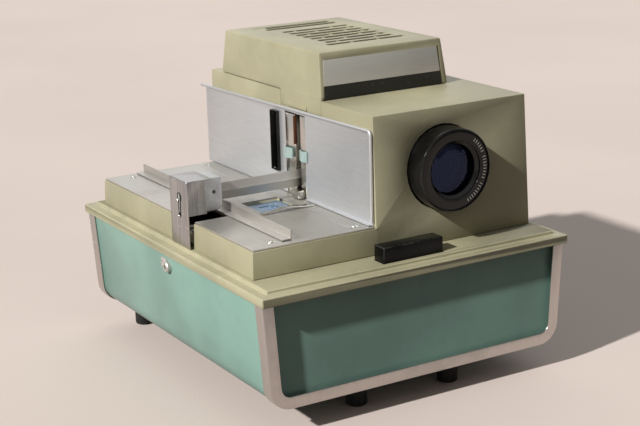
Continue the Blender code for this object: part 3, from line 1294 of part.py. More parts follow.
def make_blower():
    """Make the blower: spiral housing, bladed wheel, motor and the motor's cradle."""
    left = FAN_LEFT - SHROUD_GAP - SHROUD_WALL
    right = FAN_LEFT + FAN_WIDTH + SHROUD_GAP + SHROUD_WALL
    inner = FAN_RADIUS + SHROUD_GAP
    wall = SHROUD_WALL
    grown = inner + SHROUD_GROWTH
    floor = FAN_Z - grown
    end = FAN_Y + grown + SHROUD_TAIL
    room = volute(inner, SHROUD_GROWTH) + [
        (end + OVERRUN, floor + SHROUD_MOUTH), (end + OVERRUN, floor)]
    skin = volute(inner + wall, SHROUD_GROWTH) + [
        (end, floor + SHROUD_MOUTH + wall), (end, floor - wall)]
    shroud = plate("fan_shroud", [skin], "YZ", left, right, SHOP.satin)
    cut(shroud, plate("fan_room", [room], "YZ", left + wall, right - wall))
    cut(shroud, rod("fan_inlet", (left - OVERRUN, FAN_Y, FAN_Z), SHROUD_INLET,
                    OVERRUN + OVERRUN, "X"))
    cut(shroud, rod("shaft_hole", (right - OVERRUN, FAN_Y, FAN_Z), SHAFT_RADIUS + SHROUD_GAP,
                    OVERRUN + OVERRUN, "X", steps=ROUND_STEPS // 2))
    wheel_right = FAN_LEFT + FAN_WIDTH
    motor_left = right + MOTOR_GAP
    shaft = wheel_right - FAN_PLATE - FAN_HUB_LENGTH
    bore_depth = SHAFT_GRIP + SEAT
    profile = [(0, motor_left + SHAFT_GRIP - shaft), (SHAFT_RADIUS, motor_left + SHAFT_GRIP - shaft),
               (SHAFT_RADIUS, wheel_right - shaft), (FAN_RADIUS, wheel_right - shaft),
               (FAN_RADIUS, wheel_right - FAN_PLATE - shaft),
               (FAN_HUB, wheel_right - FAN_PLATE - shaft), (FAN_HUB, 0), (0, 0)]
    wheel = turned("fan_rotor", profile, (shaft, FAN_Y, FAN_Z), "X", SHOP.aluminium)
    ring = [(FAN_RADIUS - FAN_RING, FAN_PLATE), (FAN_RADIUS, FAN_PLATE), (FAN_RADIUS, 0),
            (FAN_RADIUS - FAN_RING, 0)]
    add(wheel, turned("fan_ring", ring, (FAN_LEFT, FAN_Y, FAN_Z), "X"))
    blades = bmesh.new()
    for i in range(FAN_BLADES):
        blade = bmesh.ops.create_cube(blades, size=1)["verts"]
        for vert in blade:
            vert.co = vert.co * Vector((FAN_WIDTH - FAN_PLATE, FAN_BLADE_WALL, FAN_RING * 0.8))
        bmesh.ops.rotate(blades, verts=blade, matrix=Matrix.Rotation(FAN_BLADE_TILT, 3, "X"))
        bmesh.ops.translate(blades, verts=blade, vec=(0, 0, FAN_RADIUS - FAN_RING / 2))
        bmesh.ops.rotate(blades, verts=blade,
                         matrix=Matrix.Rotation(2 * pi * i / FAN_BLADES, 3, "X"))
    where = Matrix.Translation((FAN_LEFT + FAN_WIDTH / 2, FAN_Y, FAN_Z))
    add(wheel, from_bmesh("fan_blades", blades, None, where))
    bell = MOTOR_BELL
    length = MOTOR_LENGTH
    body = [(0, length), (MOTOR_RADIUS - bell, length), (MOTOR_RADIUS, length - bell),
            (MOTOR_RADIUS, bell), (MOTOR_RADIUS - bell, 0), (SHAFT_RADIUS + SEAT, 0),
            (SHAFT_RADIUS + SEAT, bore_depth), (0, bore_depth)]
    turned("fan_motor", body, (motor_left, FAN_Y, FAN_Z), "X", SHOP.steel)
    middle = motor_left + length / 2
    half = CRADLE_LENGTH / 2
    cradle = box("motor_cradle", (middle - half, FAN_Y - CRADLE_WIDTH / 2, CASE_FLOOR + SEAT),
                 (middle + half, FAN_Y + CRADLE_WIDTH / 2, CASE_FLOOR + CRADLE_HEIGHT), SHOP.steel)
    cut(cradle, rod("cradle_saddle", (middle - half - OVERRUN, FAN_Y, FAN_Z),
                    MOTOR_RADIUS + SEAT, 2 * half + 2 * OVERRUN, "X"))
    hang("fan_axis", (FAN_LEFT, FAN_Y, FAN_Z), wheel)


# Power inlet and switch

def make_electrics():
    """Make the recessed power inlet and the rotary switch on the rear panel."""
    face = PANEL_FACE
    half_x = INLET_WIDTH / 2
    half_z = INLET_HEIGHT / 2
    flange = INLET_FLANGE
    out = face + SEAT
    inlet = box("power_inlet", (INLET_X - half_x - flange, out, INLET_Z - half_z - flange),
                (INLET_X + half_x + flange, out + INLET_FLANGE_WALL, INLET_Z + half_z + flange),
                SHOP.black)
    add(inlet, box("inlet_body", (INLET_X - half_x, face - INLET_DEPTH, INLET_Z - half_z),
                   (INLET_X + half_x, out + INLET_FLANGE_WALL / 2, INLET_Z + half_z)))
    cut(inlet, box("inlet_room", (INLET_X - half_x + INLET_WALL,
                                  face - INLET_DEPTH + INLET_FLOOR, INLET_Z - half_z + INLET_WALL),
                   (INLET_X + half_x - INLET_WALL, out + OVERRUN,
                    INLET_Z + half_z - INLET_WALL)))
    for name, side in (("left", -1), ("right", 1)):
        add(inlet, rod(f"inlet_pin_{name}",
                       (INLET_X + side * PIN_SPACING / 2, face - INLET_DEPTH + INLET_FLOOR / 2,
                        INLET_Z), PIN_RADIUS, INLET_FLOOR / 2 + PIN_LENGTH, "Y",
                       steps=ROUND_STEPS // 2))
    half = SWITCH_WIDTH / 2
    back = face - PANEL_WALL - SEAT
    body = box("switch_body", (SWITCH_X - half, back - SWITCH_DEPTH, SWITCH_Z - half),
               (SWITCH_X + half, back, SWITCH_Z + half), SHOP.black)
    add(body, rod("switch_bush", (SWITCH_X, back - SEAT, SWITCH_Z), SWITCH_BUSH,
                  PANEL_WALL + SEAT + SEAT, "Y", steps=ROUND_STEPS // 2))
    cut(body, rod("switch_bore", (SWITCH_X, back - SWITCH_SHAFT_LENGTH, SWITCH_Z),
                  SWITCH_SHAFT + SEAT, SWITCH_SHAFT_LENGTH + OVERRUN, "Y",
                  steps=ROUND_STEPS // 2))
    knob_y = face + SEAT
    knob = rod("switch_knob", (SWITCH_X, knob_y, SWITCH_Z), KNOB_RADIUS, KNOB_LENGTH, "Y",
               SHOP.black)
    soften(knob, EDGE_ROUND)
    add(knob, rod("switch_shaft", (SWITCH_X, back - SWITCH_SHAFT_LENGTH + SEAT, SWITCH_Z),
                  SWITCH_SHAFT, SWITCH_SHAFT_LENGTH + PANEL_WALL + KNOB_LENGTH / 2, "Y",
                  steps=ROUND_STEPS // 2))
    add(knob, box("knob_pointer", (SWITCH_X - KNOB_POINTER / 2, knob_y + KNOB_LENGTH / 2, SWITCH_Z),
                  (SWITCH_X + KNOB_POINTER / 2, knob_y + KNOB_LENGTH + KNOB_POINTER_RISE,
                   SWITCH_Z + KNOB_RADIUS * 0.9)))
    hang("switch_axis", (SWITCH_X, knob_y, SWITCH_Z), knob)


# Feet, elevating legs and press bar

def make_legs():
    """Make the elevating leg frame, its floor bushes and the four rubber feet."""
    half = BRIDGE_HALF
    depth = BRIDGE_DEPTH / 2
    frame = box("leg_frame", (-half, -LEG_Y - depth, BRIDGE_BASE),
                (half, -LEG_Y + depth, BRIDGE_BASE + BRIDGE_HEIGHT), SHOP.steel)
    moving = [frame]
    rod_base = FOOT_HEIGHT / 2 + SEAT
    for name, side in (("left", -1), ("right", 1)):
        x = side * LEG_X
        add(frame, rod(f"leg_rod_{name}", (x, -LEG_Y, rod_base), LEG_RADIUS,
                       BRIDGE_BASE + BRIDGE_HEIGHT / 2 - rod_base, steps=ROUND_STEPS // 2))
        bore = LEG_RADIUS + SEAT
        foot = [(bore, FOOT_HEIGHT), (FOOT_RADIUS - EDGE_ROUND, FOOT_HEIGHT),
                (FOOT_RADIUS, FOOT_HEIGHT - EDGE_ROUND), (FOOT_RADIUS, EDGE_ROUND),
                (FOOT_RADIUS - EDGE_ROUND, 0)]
        foot = [(0, FOOT_HEIGHT / 2), (bore, FOOT_HEIGHT / 2)] + foot + [(0, 0)]
        moving.append(turned(f"front_foot_{name}", foot, (x, -LEG_Y, 0), "Z", SHOP.rubber,
                             ROUND_STEPS // 2))
        play = LEG_RADIUS + LEG_PLAY
        flange_base = CASE_FLOOR + SEAT
        bush = [(play, BUSH_WALL), (BUSH_RADIUS, BUSH_WALL), (BUSH_RADIUS, 0), (BUSH_NECK, 0),
                (BUSH_NECK, -CASE_WALL), (play, -CASE_WALL)]
        turned(f"leg_bush_{name}", bush, (x, -LEG_Y, flange_base), "Z", SHOP.nylon,
               ROUND_STEPS // 2)
        top = STANCE + TRIM_WALL
        foot = [(0, top), (REAR_FOOT_RADIUS, top), (REAR_FOOT_RADIUS, EDGE_ROUND),
                (REAR_FOOT_RADIUS - EDGE_ROUND, 0), (0, 0)]
        turned(f"rear_foot_{name}", foot, (side * REAR_FOOT_X, REAR_FOOT_Y, 0), "Z",
               SHOP.rubber, ROUND_STEPS // 2)
    hang("leg_travel", (0, -LEG_Y, BRIDGE_BASE), *moving)


def make_bar():
    """Make the leg release bar in its deck well, its spring and the hanger under them."""
    bar_y = -BAR_FRONT + BAR_DEPTH / 2
    bar = box("release_bar", (-BAR_HALF, -BAR_FRONT, PLATEAU - BAR_SKIRT),
              (BAR_HALF, -BAR_FRONT + BAR_DEPTH, PLATEAU + BAR_RISE), SHOP.black)
    soften(bar, BAR_ROUND)
    strap_top = PLATEAU - DECK_WALL - SEAT
    hanger_z = PLATEAU - DECK_WALL - HANGER_DROP
    wall = HANGER_WALL
    half = HANGER_HALF
    foot = HANGER_FOOT
    strap = [(-half, hanger_z), (half, hanger_z), (half, strap_top - wall),
             (half + foot, strap_top - wall), (half + foot, strap_top), (half - wall, strap_top),
             (half - wall, hanger_z + wall), (-half + wall, hanger_z + wall),
             (-half + wall, strap_top), (-half - foot, strap_top),
             (-half - foot, strap_top - wall), (-half, strap_top - wall)]
    plate("bar_hanger", [strap], "XZ", bar_y - HANGER_DEPTH / 2, bar_y + HANGER_DEPTH / 2,
          SHOP.steel)
    bore_top = PLATEAU + SPRING_HEAD
    cut(bar, rod("spring_bore", (0, bar_y, PLATEAU - BAR_SKIRT - OVERRUN), SPRING_BORE,
                 bore_top - PLATEAU + BAR_SKIRT + OVERRUN, steps=ROUND_STEPS // 2))
    low = hanger_z + wall + SEAT + SPRING_WIRE
    high = bore_top - SEAT - SPRING_WIRE
    points = []
    steps = SPRING_TURNS * SPRING_POINTS_PER_TURN
    for i in range(steps + 1):
        share = i / steps
        angle = 2 * pi * SPRING_TURNS * share
        points.append((SPRING_RADIUS * cos(angle), bar_y + SPRING_RADIUS * sin(angle),
                       low + (high - low) * share))
    wire("release_spring", points, SPRING_WIRE, SHOP.steel)
    hang("bar_press", (0, bar_y, PLATEAU), bar)


def main():
    """Make the whole projector."""
    make_case()
    make_keepers()
    make_deck()
    make_housing()
    make_cover()
    make_liner()
    make_bed()
    make_guides()
    make_slide_gate()
    make_changer()
    make_lens()
    make_lamp()
    make_lamp_house()
    make_blower()
    make_electrics()
    make_legs()
    make_bar()


main()
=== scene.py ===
"""Looks of a slide projector with an open tray bed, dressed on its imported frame."""

import json
import logging
from dataclasses import dataclass
from enum import Enum
from math import cos, pi, radians, sin, sqrt

import bmesh
import bpy
from bmesh.types import BMesh
from bpy.types import Material, Mesh, Node, NodeSocket, Object
from mathutils import Matrix, Vector

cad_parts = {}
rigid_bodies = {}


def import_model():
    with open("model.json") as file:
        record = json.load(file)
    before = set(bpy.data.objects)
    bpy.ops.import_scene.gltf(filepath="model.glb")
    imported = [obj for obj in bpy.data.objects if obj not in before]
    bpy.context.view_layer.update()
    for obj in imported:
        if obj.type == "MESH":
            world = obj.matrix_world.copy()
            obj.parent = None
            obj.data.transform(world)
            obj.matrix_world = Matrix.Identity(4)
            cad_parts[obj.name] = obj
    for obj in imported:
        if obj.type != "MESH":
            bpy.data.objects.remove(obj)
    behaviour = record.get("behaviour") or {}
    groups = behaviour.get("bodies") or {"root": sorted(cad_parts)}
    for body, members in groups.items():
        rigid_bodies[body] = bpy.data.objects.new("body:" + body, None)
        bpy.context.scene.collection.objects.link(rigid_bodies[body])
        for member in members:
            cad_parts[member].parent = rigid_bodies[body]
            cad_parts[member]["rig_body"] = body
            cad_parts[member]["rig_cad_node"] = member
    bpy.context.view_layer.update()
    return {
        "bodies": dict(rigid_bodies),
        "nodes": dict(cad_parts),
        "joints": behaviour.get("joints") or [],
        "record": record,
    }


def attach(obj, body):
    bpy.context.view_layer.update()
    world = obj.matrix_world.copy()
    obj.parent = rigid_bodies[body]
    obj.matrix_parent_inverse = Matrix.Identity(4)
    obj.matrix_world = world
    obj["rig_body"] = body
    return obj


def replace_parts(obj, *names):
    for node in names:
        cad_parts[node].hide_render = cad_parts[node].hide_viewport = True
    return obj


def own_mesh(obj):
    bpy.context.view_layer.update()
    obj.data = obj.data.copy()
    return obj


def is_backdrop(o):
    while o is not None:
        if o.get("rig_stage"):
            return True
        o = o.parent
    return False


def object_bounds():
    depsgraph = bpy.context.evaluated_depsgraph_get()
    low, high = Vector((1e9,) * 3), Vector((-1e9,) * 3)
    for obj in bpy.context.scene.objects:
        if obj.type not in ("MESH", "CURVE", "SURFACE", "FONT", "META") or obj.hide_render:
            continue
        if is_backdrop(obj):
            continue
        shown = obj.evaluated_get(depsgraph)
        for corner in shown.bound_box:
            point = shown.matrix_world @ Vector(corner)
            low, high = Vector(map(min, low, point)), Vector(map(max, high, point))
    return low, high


LOG = logging.getLogger("slide_projector")
# Lengths in metres
MM = 0.001
METAL_RELIEF = 0.00003
WELD = 1e-5
# Angles between faces in degrees
SHARP_ANGLE = 34
SOFT_ANGLE = 40
EDGE_ANGLE = 28
FLAT_ANGLE = 0.6
# The small open middle of a turned form, in millimetres
AXLE = 0.02
# Screw heads: height and slot as shares of the radius, and the slot's turn in radians
HEAD_RISE = 0.4
SLOT_SHARE = 0.3
SLOT_TURN = 0.6
# Colours as seen on a screen
DUST = (206, 200, 184)
LINT = (170, 164, 150)
SCUFF = (86, 84, 76)
DAYLIGHT = (236, 234, 232)

Pair = tuple[float, float]
Point = tuple[float, float, float]
Colour = tuple[float, float, float]
Outline = tuple[Pair, ...]


def linear(red: int, green: int, blue: int) -> Colour:
    """Turn a colour seen on a screen, 0 to 255, into linear light.

    Args:
        red: Red as seen on a screen.
        green: Green as seen on a screen.
        blue: Blue as seen on a screen.

    Returns:
        The three shares of light, 0 to 1.
    """
    def share(value: int) -> float:
        """Linear light of one screen value."""
        part = value / 255
        return part / 12.92 if part <= 0.04045 else ((part + 0.055) / 1.055) ** 2.4
    return share(red), share(green), share(blue)


# Shader maths

@dataclass
class Value:
    """A number socket that takes part in Python expressions; the tree holds its Math nodes."""

    tree: "Tree"
    socket: NodeSocket

    def _math(self, operation: str, *others: object) -> "Value":
        """Add a Math node on this value and others."""
        node = self.tree.node("ShaderNodeMath", {"operation": operation})
        self.tree.feed(node.inputs[0], self)
        for index, other in enumerate(others):
            self.tree.feed(node.inputs[index + 1], other)
        return Value(self.tree, node.outputs[0])

    def __add__(self, other: object) -> "Value":
        """Sum."""
        return self._math("ADD", other)

    def __sub__(self, other: object) -> "Value":
        """Difference."""
        return self._math("SUBTRACT", other)

    def __rsub__(self, other: float) -> "Value":
        """A number less this value."""
        return (self * -1) + other

    def __mul__(self, other: object) -> "Value":
        """Product."""
        return self._math("MULTIPLY", other)

    def __lt__(self, other: object) -> "Value":
        """1 where this value is the smaller."""
        return self._math("LESS_THAN", other)

    def most(self, other: object) -> "Value":
        """The larger of two values."""
        return self._math("MAXIMUM", other)

    def smooth(self, low: float, high: float) -> "Value":
        """A soft step from 0 at low to 1 at high.

        Args:
            low: Where the step starts.
            high: Where the step ends.

        Returns:
            The step as a value.
        """
        node = self.tree.node("ShaderNodeMapRange", {"interpolation_type": "SMOOTHSTEP"})
        self.tree.feed(node.inputs[0], self)
        self.tree.feed(node.inputs[1], low)
        self.tree.feed(node.inputs[2], high)
        return Value(self.tree, node.outputs[0])


class Tree:
    """A node tree that is being written, for a material, the world or a form."""

    def __init__(self, tree: bpy.types.NodeTree) -> None:
        """Start from an empty tree.

        Args:
            tree: The tree to write in.
        """
        self.tree = tree
        tree.nodes.clear()

    def feed(self, socket: NodeSocket, source: object) -> None:
        """Give a socket a link or a plain value.

        Args:
            socket: The input to feed.
            source: A Value, an output socket, a number or a colour.
        """
        if isinstance(source, Value):
            source = source.socket
        if isinstance(source, NodeSocket):
            self.tree.links.new(source, socket)
        elif isinstance(source, (tuple, list)) and len(source) == 3 and socket.type == "RGBA":
            socket.default_value = (*source, 1)
        else:
            socket.default_value = source

    def node(self, kind: str, settings: dict | None = None,
             inputs: dict | None = None) -> Node:
        """Add a node.

        Args:
            kind: The node's type.
            settings: Properties that are set before the sockets.
            inputs: What feeds its sockets, by name or place.

        Returns:
            The node.
        """
        made = self.tree.nodes.new(kind)
        for name, value in (settings or {}).items():
            if name == "stops":
                self._stops(made.color_ramp, value)
            else:
                setattr(made, name, value)
        for name, value in (inputs or {}).items():
            self.feed(made.inputs[name], value)
        return made

    @staticmethod
    def _stops(ramp: bpy.types.ColorRamp, stops: list[tuple[float, Colour]]) -> None:
        """Set a ramp's stops."""
        while len(ramp.elements) < len(stops):
            ramp.elements.new(0.5)
        for element, (place, colour) in zip(ramp.elements, stops):
            element.position = place
            element.color = (*colour, 1)

    def place(self, stretch: Point = (1, 1, 1),
              turn: Point = (0, 0, 0)) -> NodeSocket:
        """Object coordinates, stretched or turned.

        Args:
            stretch: Scale along each axis.
            turn: Turn about each axis in radians.

        Returns:
            The coordinates' output.
        """
        coords = self.node("ShaderNodeTexCoord")
        mapping = self.node("ShaderNodeMapping", inputs={
            "Vector": coords.outputs["Object"], "Scale": stretch, "Rotation": turn})
        return mapping.outputs[0]

    def axes(self) -> tuple[Value, Value, Value]:
        """X, Y and Z in metres, in the object's own frame."""
        coords = self.node("ShaderNodeTexCoord")
        parts = self.node("ShaderNodeSeparateXYZ", inputs={0: coords.outputs["Object"]})
        return tuple(Value(self, parts.outputs[i]) for i in range(3))

    def noise(self, scale: float, detail: float = 2, stretch: Point = (1, 1, 1),
              turn: Point = (0, 0, 0), rough: float = 0.5) -> Value:
        """Soft random variation.

        Args:
            scale: Features per metre.
            detail: Layers of finer variation.
            stretch: Scale along each axis.
            turn: Turn of the pattern in radians.
            rough: Weight of the finer layers.

        Returns:
            The variation, about 0.5.
        """
        made = self.node("ShaderNodeTexNoise", inputs={
            "Vector": self.place(stretch, turn), "Scale": scale, "Detail": detail,
            "Roughness": rough})
        return Value(self, made.outputs[0])

    def specks(self, scale: float) -> Value:
        """Distance to the nearest of many scattered points, in cells."""
        made = self.node("ShaderNodeTexVoronoi", inputs={"Vector": self.place(), "Scale": scale})
        return Value(self, made.outputs["Distance"])

    def edges(self) -> Value:
        """1 on the rounded edges of a piece that carries the attribute."""
        made = self.node("ShaderNodeAttribute", {"attribute_name": "edge"})
        return Value(self, made.outputs["Fac"])

    def upward(self) -> Value:
        """How far a surface faces up, 0 to 1."""
        geometry = self.node("ShaderNodeNewGeometry")
        parts = self.node("ShaderNodeSeparateXYZ", inputs={0: geometry.outputs["Normal"]})
        return Value(self, parts.outputs[2]).most(0)

    def mix(self, share: object, first: object, second: object) -> NodeSocket:
        """Mix two colours.

        Args:
            share: Share of the second colour.
            first: First colour or output.
            second: Second colour or output.

        Returns:
            The mixed colour's output.
        """
        made = self.node("ShaderNodeMix", {"data_type": "RGBA"})
        self.feed(made.inputs[0], share)
        self.feed(made.inputs[6], first)
        self.feed(made.inputs[7], second)
        return made.outputs[2]

    def bump(self, height: Value, depth: float) -> NodeSocket:
        """Turn a height into a tilted normal.

        Args:
            height: The height, about 0 to 1.
            depth: What 1 stands for in metres.

        Returns:
            The normal's output.
        """
        made = self.node("ShaderNodeBump", inputs={
            "Height": height, "Distance": depth, "Strength": 1})
        return made.outputs[0]

    def coat(self, shader: Node, **sources: object) -> None:
        """Feed a shader's sockets.

        Args:
            shader: The shader.
            **sources: What feeds each socket, by its name with _ for a space.
        """
        for name, source in sources.items():
            self.feed(shader.inputs[name.replace("_", " ")], source)


# Finishes

@dataclass(frozen=True)
class Finish:
    """A finish with one shader."""

    name: str
    colour: Colour

    def material(self) -> Material:
        """Make the material once and give it again later.

        Returns:
            The material of this finish.
        """
        title = self.name + "_surface"
        found = bpy.data.materials.get(title)
        if found:
            return found
        made = bpy.data.materials.new(title)
        made.use_nodes = True
        tree = Tree(made.node_tree)
        shader = tree.node("ShaderNodeBsdfPrincipled")
        out = tree.node("ShaderNodeOutputMaterial")
        tree.feed(shader.inputs["Base Color"], self.colour)
        self.shade(tree, shader)
        tree.feed(out.inputs[0], shader.outputs[0])
        made.diffuse_color = (*self.colour, 1)
        return made

    def tint(self, share: float, lift: float = 0) -> Colour:
        """The colour, darker or paler.

        Args:
            share: Factor on each part of the colour.
            lift: What is added to each part.

        Returns:
            The new colour, no part of it over 1.
        """
        return tuple(min(1, part * share + lift) for part in self.colour)

    def shade(self, tree: Tree, shader: Node) -> None:
        """Feed the shader; each finish has its own way."""


@dataclass(frozen=True)
class Paint(Finish):
    """Baked enamel on a casting or on sheet metal."""

    metal: Colour = linear(150, 146, 138)
    rough: float = 0.42
    grain: float = 900
    depth: float = 0.00005
    chips: float = 0.5
    shine: float = 0.3

    def shade(self, tree: Tree, shader: Node) -> None:
        """Fine orange peel, faint mottling, dust on top and chips on the edges."""
        clouds = tree.noise(14, 3)
        dark = self.tint(0.84)
        pale = self.tint(1.06, 0.004)
        base = tree.mix(clouds.smooth(0.36, 0.66), dark, pale)
        grime = tree.noise(55, 4).smooth(0.56, 0.78) * 0.22
        base = tree.mix(grime, base, self.tint(0.6))
        dust = tree.upward() * tree.noise(340, 3).smooth(0.6, 0.72) * 0.25
        base = tree.mix(dust, base, linear(*DUST))
        edge = tree.edges()
        rub = edge * tree.noise(70, 4).smooth(0.4, 0.7) * 0.35
        base = tree.mix(rub, base, self.tint(1.35, 0.02))
        chip = edge * tree.noise(210, 5, rough=0.65).smooth(0.66 - 0.1 * self.chips, 0.7)
        speck = tree.specks(70).smooth(0.05, 0.035) * tree.noise(30, 1).smooth(0.6, 0.64)
        worn = chip.most(speck * self.chips)
        peel = tree.noise(self.grain, 2)
        height = peel + tree.noise(self.grain * 0.3, 2) * 1.4 - worn * 1.5
        tree.coat(shader, Base_Color=tree.mix(worn, base, self.metal), Metallic=worn * 0.7,
                  Roughness=(clouds - 0.5) * 0.16 + peel * 0.08 + (self.rough - 0.04) + dust * 0.5,
                  Specular_IOR_Level=self.shine, Normal=tree.bump(height, self.depth))


class Run(Enum):
    """The way a metal was drawn, rolled or brushed."""

    X = (1, 40, 40)
    Y = (40, 1, 40)
    Z = (40, 40, 1)
    CAST = (1, 1, 1)


@dataclass(frozen=True)
class Metal(Finish):
    """Bare or plated metal with fine lines, scratches and dull patches."""

    run: Run = Run.Y
    rough: float = 0.34
    lines: float = 60
    tarnish: float = 0.3
    metallic: float = 1
    brushed: float = 0.22

    def shade(self, tree: Tree, shader: Node) -> None:
        """Fine drawn lines, crossing scratches, dull clouds and darker pits."""
        lines = tree.noise(self.lines, 3, stretch=self.run.value)
        clouds = tree.noise(26, 4)
        patches = tree.noise(90, 4, rough=0.6)
        first = tree.noise(9, 2, stretch=(90, 4, 30), turn=(0.3, 0.5, 0.6))
        second = tree.noise(8, 2, stretch=(5, 80, 30), turn=(0.2, 0.7, -0.4))
        scratch = first.smooth(0.69, 0.72).most(second.smooth(0.7, 0.73))
        dull = clouds.smooth(0.45, 0.75) * self.tarnish
        base = tree.mix(dull, self.colour, self.tint(0.58))
        streak = lines.smooth(0.34, 0.66) * self.brushed
        base = tree.mix(streak, base, self.tint(0.62))
        spots = patches.smooth(0.66, 0.74) * self.tarnish
        base = tree.mix(spots, base, self.tint(0.4))
        base = tree.mix(scratch * 0.35, base, self.tint(1.25))
        rough = lines * 0.12 + dull * 0.5 + spots * 0.3 + (self.rough - 0.06)
        height = lines * 0.7 - scratch * 1.5 - spots * 0.6
        tree.coat(shader, Base_Color=base, Metallic=self.metallic,
                  Roughness=rough - scratch * 0.06 - tree.edges() * 0.05,
                  Normal=tree.bump(height, METAL_RELIEF))


@dataclass(frozen=True)
class Moulded(Finish):
    """Moulded plastic, rubber, ceramic or japanned black."""

    rough: float = 0.4
    grain: float = 1100
    depth: float = 0.00002
    dust: float = 0.3
    rubbed: float = 0.4
    shine: float = 0.32

    def shade(self, tree: Tree, shader: Node) -> None:
        """A fine moulded grain with dust on top and paler rubbed edges."""
        clouds = tree.noise(40, 3)
        pale = self.tint(1.7, 0.02)
        base = tree.mix(clouds.smooth(0.4, 0.75) * 0.35, self.colour, pale)
        rub = tree.edges() * tree.noise(160, 3).smooth(0.42, 0.62) * self.rubbed
        base = tree.mix(rub, base, self.tint(2, 0.12))
        fluff = tree.noise(420, 3).smooth(0.6, 0.7) * (tree.upward() * 0.8 + 0.2) * self.dust
        base = tree.mix(fluff, base, linear(*LINT))
        grain = tree.noise(self.grain, 2)
        tree.coat(shader, Base_Color=base, Specular_IOR_Level=self.shine,
                  Roughness=clouds * 0.14 + grain * 0.06 + fluff * 0.6 + (self.rough - 0.1),
                  Normal=tree.bump(grain + clouds * 0.5, self.depth))


@dataclass(frozen=True)
class Split(Finish):
    """The bare front plate: satin metal above, a black band below."""

    band: Colour = linear(26, 26, 23)
    line: float = 0.2013

    def shade(self, tree: Tree, shader: Node) -> None:
        """A black band between two heights, satin metal elsewhere."""
        black = tree.axes()[2] < self.line
        lines = tree.noise(70, 3, stretch=(1, 40, 40))
        clouds = tree.noise(30, 3)
        silver = tree.mix(lines.smooth(0.3, 0.7) * 0.4, self.colour, self.tint(0.8))
        silver = tree.mix(clouds.smooth(0.5, 0.8) * 0.25, silver, self.tint(0.6))
        scuff = tree.noise(240, 4).smooth(0.64, 0.7) * 0.4
        dark = tree.mix(scuff, self.band, linear(*SCUFF))
        tree.coat(shader, Base_Color=tree.mix(black, silver, dark), Metallic=(1 - black) * 0.6,
                  Roughness=lines * 0.1 + clouds * 0.12 + black * 0.06 + 0.26,
                  Normal=tree.bump(lines - black * 1.5, METAL_RELIEF))


@dataclass(frozen=True)
class Glass(Finish):
    """Clear, tinted or coated glass."""

    rough: float = 0.01
    index: float = 1.52
    coated: Colour | None = None
    cover: float = 0.5

    def shade(self, tree: Tree, shader: Node) -> None:
        """A clear body; coated glass is instead partly see-through, its dark base colour painted
        shade, with a coloured sheen from the coating.
        """
        tree.coat(shader, Roughness=self.rough, IOR=self.index)
        if self.coated:
            tree.coat(shader, Specular_Tint=self.coated, Alpha=self.cover)
        else:
            tree.coat(shader, Transmission_Weight=1)


@dataclass(frozen=True)
class Translucent(Finish):
    """Thin translucent plastic that lets some light through."""

    clear: float = 0.3
    index: float = 1.47

    def shade(self, tree: Tree, shader: Node) -> None:
        """A milky body with faint cloudiness."""
        clouds = tree.noise(160, 3)
        base = tree.mix(clouds.smooth(0.4, 0.7) * 0.4, self.colour, self.tint(0.7))
        tree.coat(shader, Base_Color=base, Roughness=clouds * 0.2 + 0.2,
                  Transmission_Weight=self.clear, IOR=self.index)


@dataclass(frozen=True)
class Floor(Finish):
    """A plain pale floor that keeps the object's shadow."""

    bounce: float = 0.12

    def shade(self, tree: Tree, shader: Node) -> None:
        """A matt pale ground with very soft variation."""
        clouds = tree.noise(2.2, 3)
        ground = tree.mix(clouds.smooth(0.3, 0.7), self.tint(0.95), self.colour)
        # Diffuse rays see the floor at the bounce share of its colour, so it throws little bounce
        # light: painted shade on the object's lower and front faces
        scattered = Value(tree, tree.node("ShaderNodeLightPath").outputs["Is Diffuse Ray"])
        tree.coat(shader, Base_Color=tree.mix(scattered, ground, self.tint(self.bounce)),
                  Roughness=clouds * 0.1 + 0.85, Normal=tree.bump(tree.noise(600, 3), 0.0001))


OLIVE = Paint("olive_enamel", linear(166, 161, 133))
TEAL = Paint("teal_enamel", linear(127, 160, 149), rough=0.36, chips=0.35)
TRIM = Metal("trim_aluminium", linear(200, 193, 188), run=Run.Z, rough=0.34, tarnish=0.3)
SHEET = Metal("sheet_aluminium", linear(197, 194, 188), run=Run.Y, rough=0.42, tarnish=0.2,
              metallic=0.9)
LINER = Metal("liner_aluminium", linear(206, 208, 211), run=Run.Y, rough=0.5, tarnish=0.1,
              metallic=0.8)
NICKEL = Metal("worn_nickel", linear(198, 194, 184), run=Run.Z, rough=0.24, lines=34, tarnish=0.15)
PULL = Metal("brushed_pull", linear(193, 192, 192), run=Run.Z, rough=0.3, lines=20, tarnish=0.2,
             brushed=0.7)
# Pale steel whose blue is a painted sky reflection
PAINTED_SKY_STEEL = Metal("steel_with_painted_sky", linear(150, 172, 196), run=Run.X, rough=0.36, tarnish=0.1,
                  metallic=0.7)
POLISHED = Metal("polished_steel", linear(214, 212, 206), run=Run.Z, rough=0.16, tarnish=0.15)
KEEPER = Metal("bright_tinplate", linear(206, 204, 198), run=Run.CAST, rough=0.34, tarnish=0.35,
               metallic=0.6)
SPRING = Metal("spring_steel", linear(168, 164, 156), run=Run.X, rough=0.28, tarnish=0.3)
ZINC = Metal("zinc_steel", linear(158, 156, 148), run=Run.CAST, rough=0.42, tarnish=0.5)
MIRROR = Metal("reflector_silver", linear(232, 232, 230), run=Run.CAST, rough=0.06, tarnish=0.05)
BLACK = Moulded("satin_black", linear(22, 22, 21), rough=0.36, dust=0.2)
JAPAN = Moulded("japanned_black", linear(8, 8, 8), rough=0.16, dust=0.03, rubbed=0.2)
BAR = Moulded("bar_black", linear(10, 10, 10), rough=0.24, dust=0.05, rubbed=0.16, shine=0.16)
HEAT = Moulded("heat_blackened_steel", linear(58, 56, 52), rough=0.55, dust=0.2)
RUBBER = Moulded("black_rubber", linear(26, 26, 25), rough=0.72, depth=0.00006, dust=0.5)
NYLON = Moulded("ivory_nylon", linear(206, 198, 176), rough=0.4, dust=0.1, rubbed=0.1)
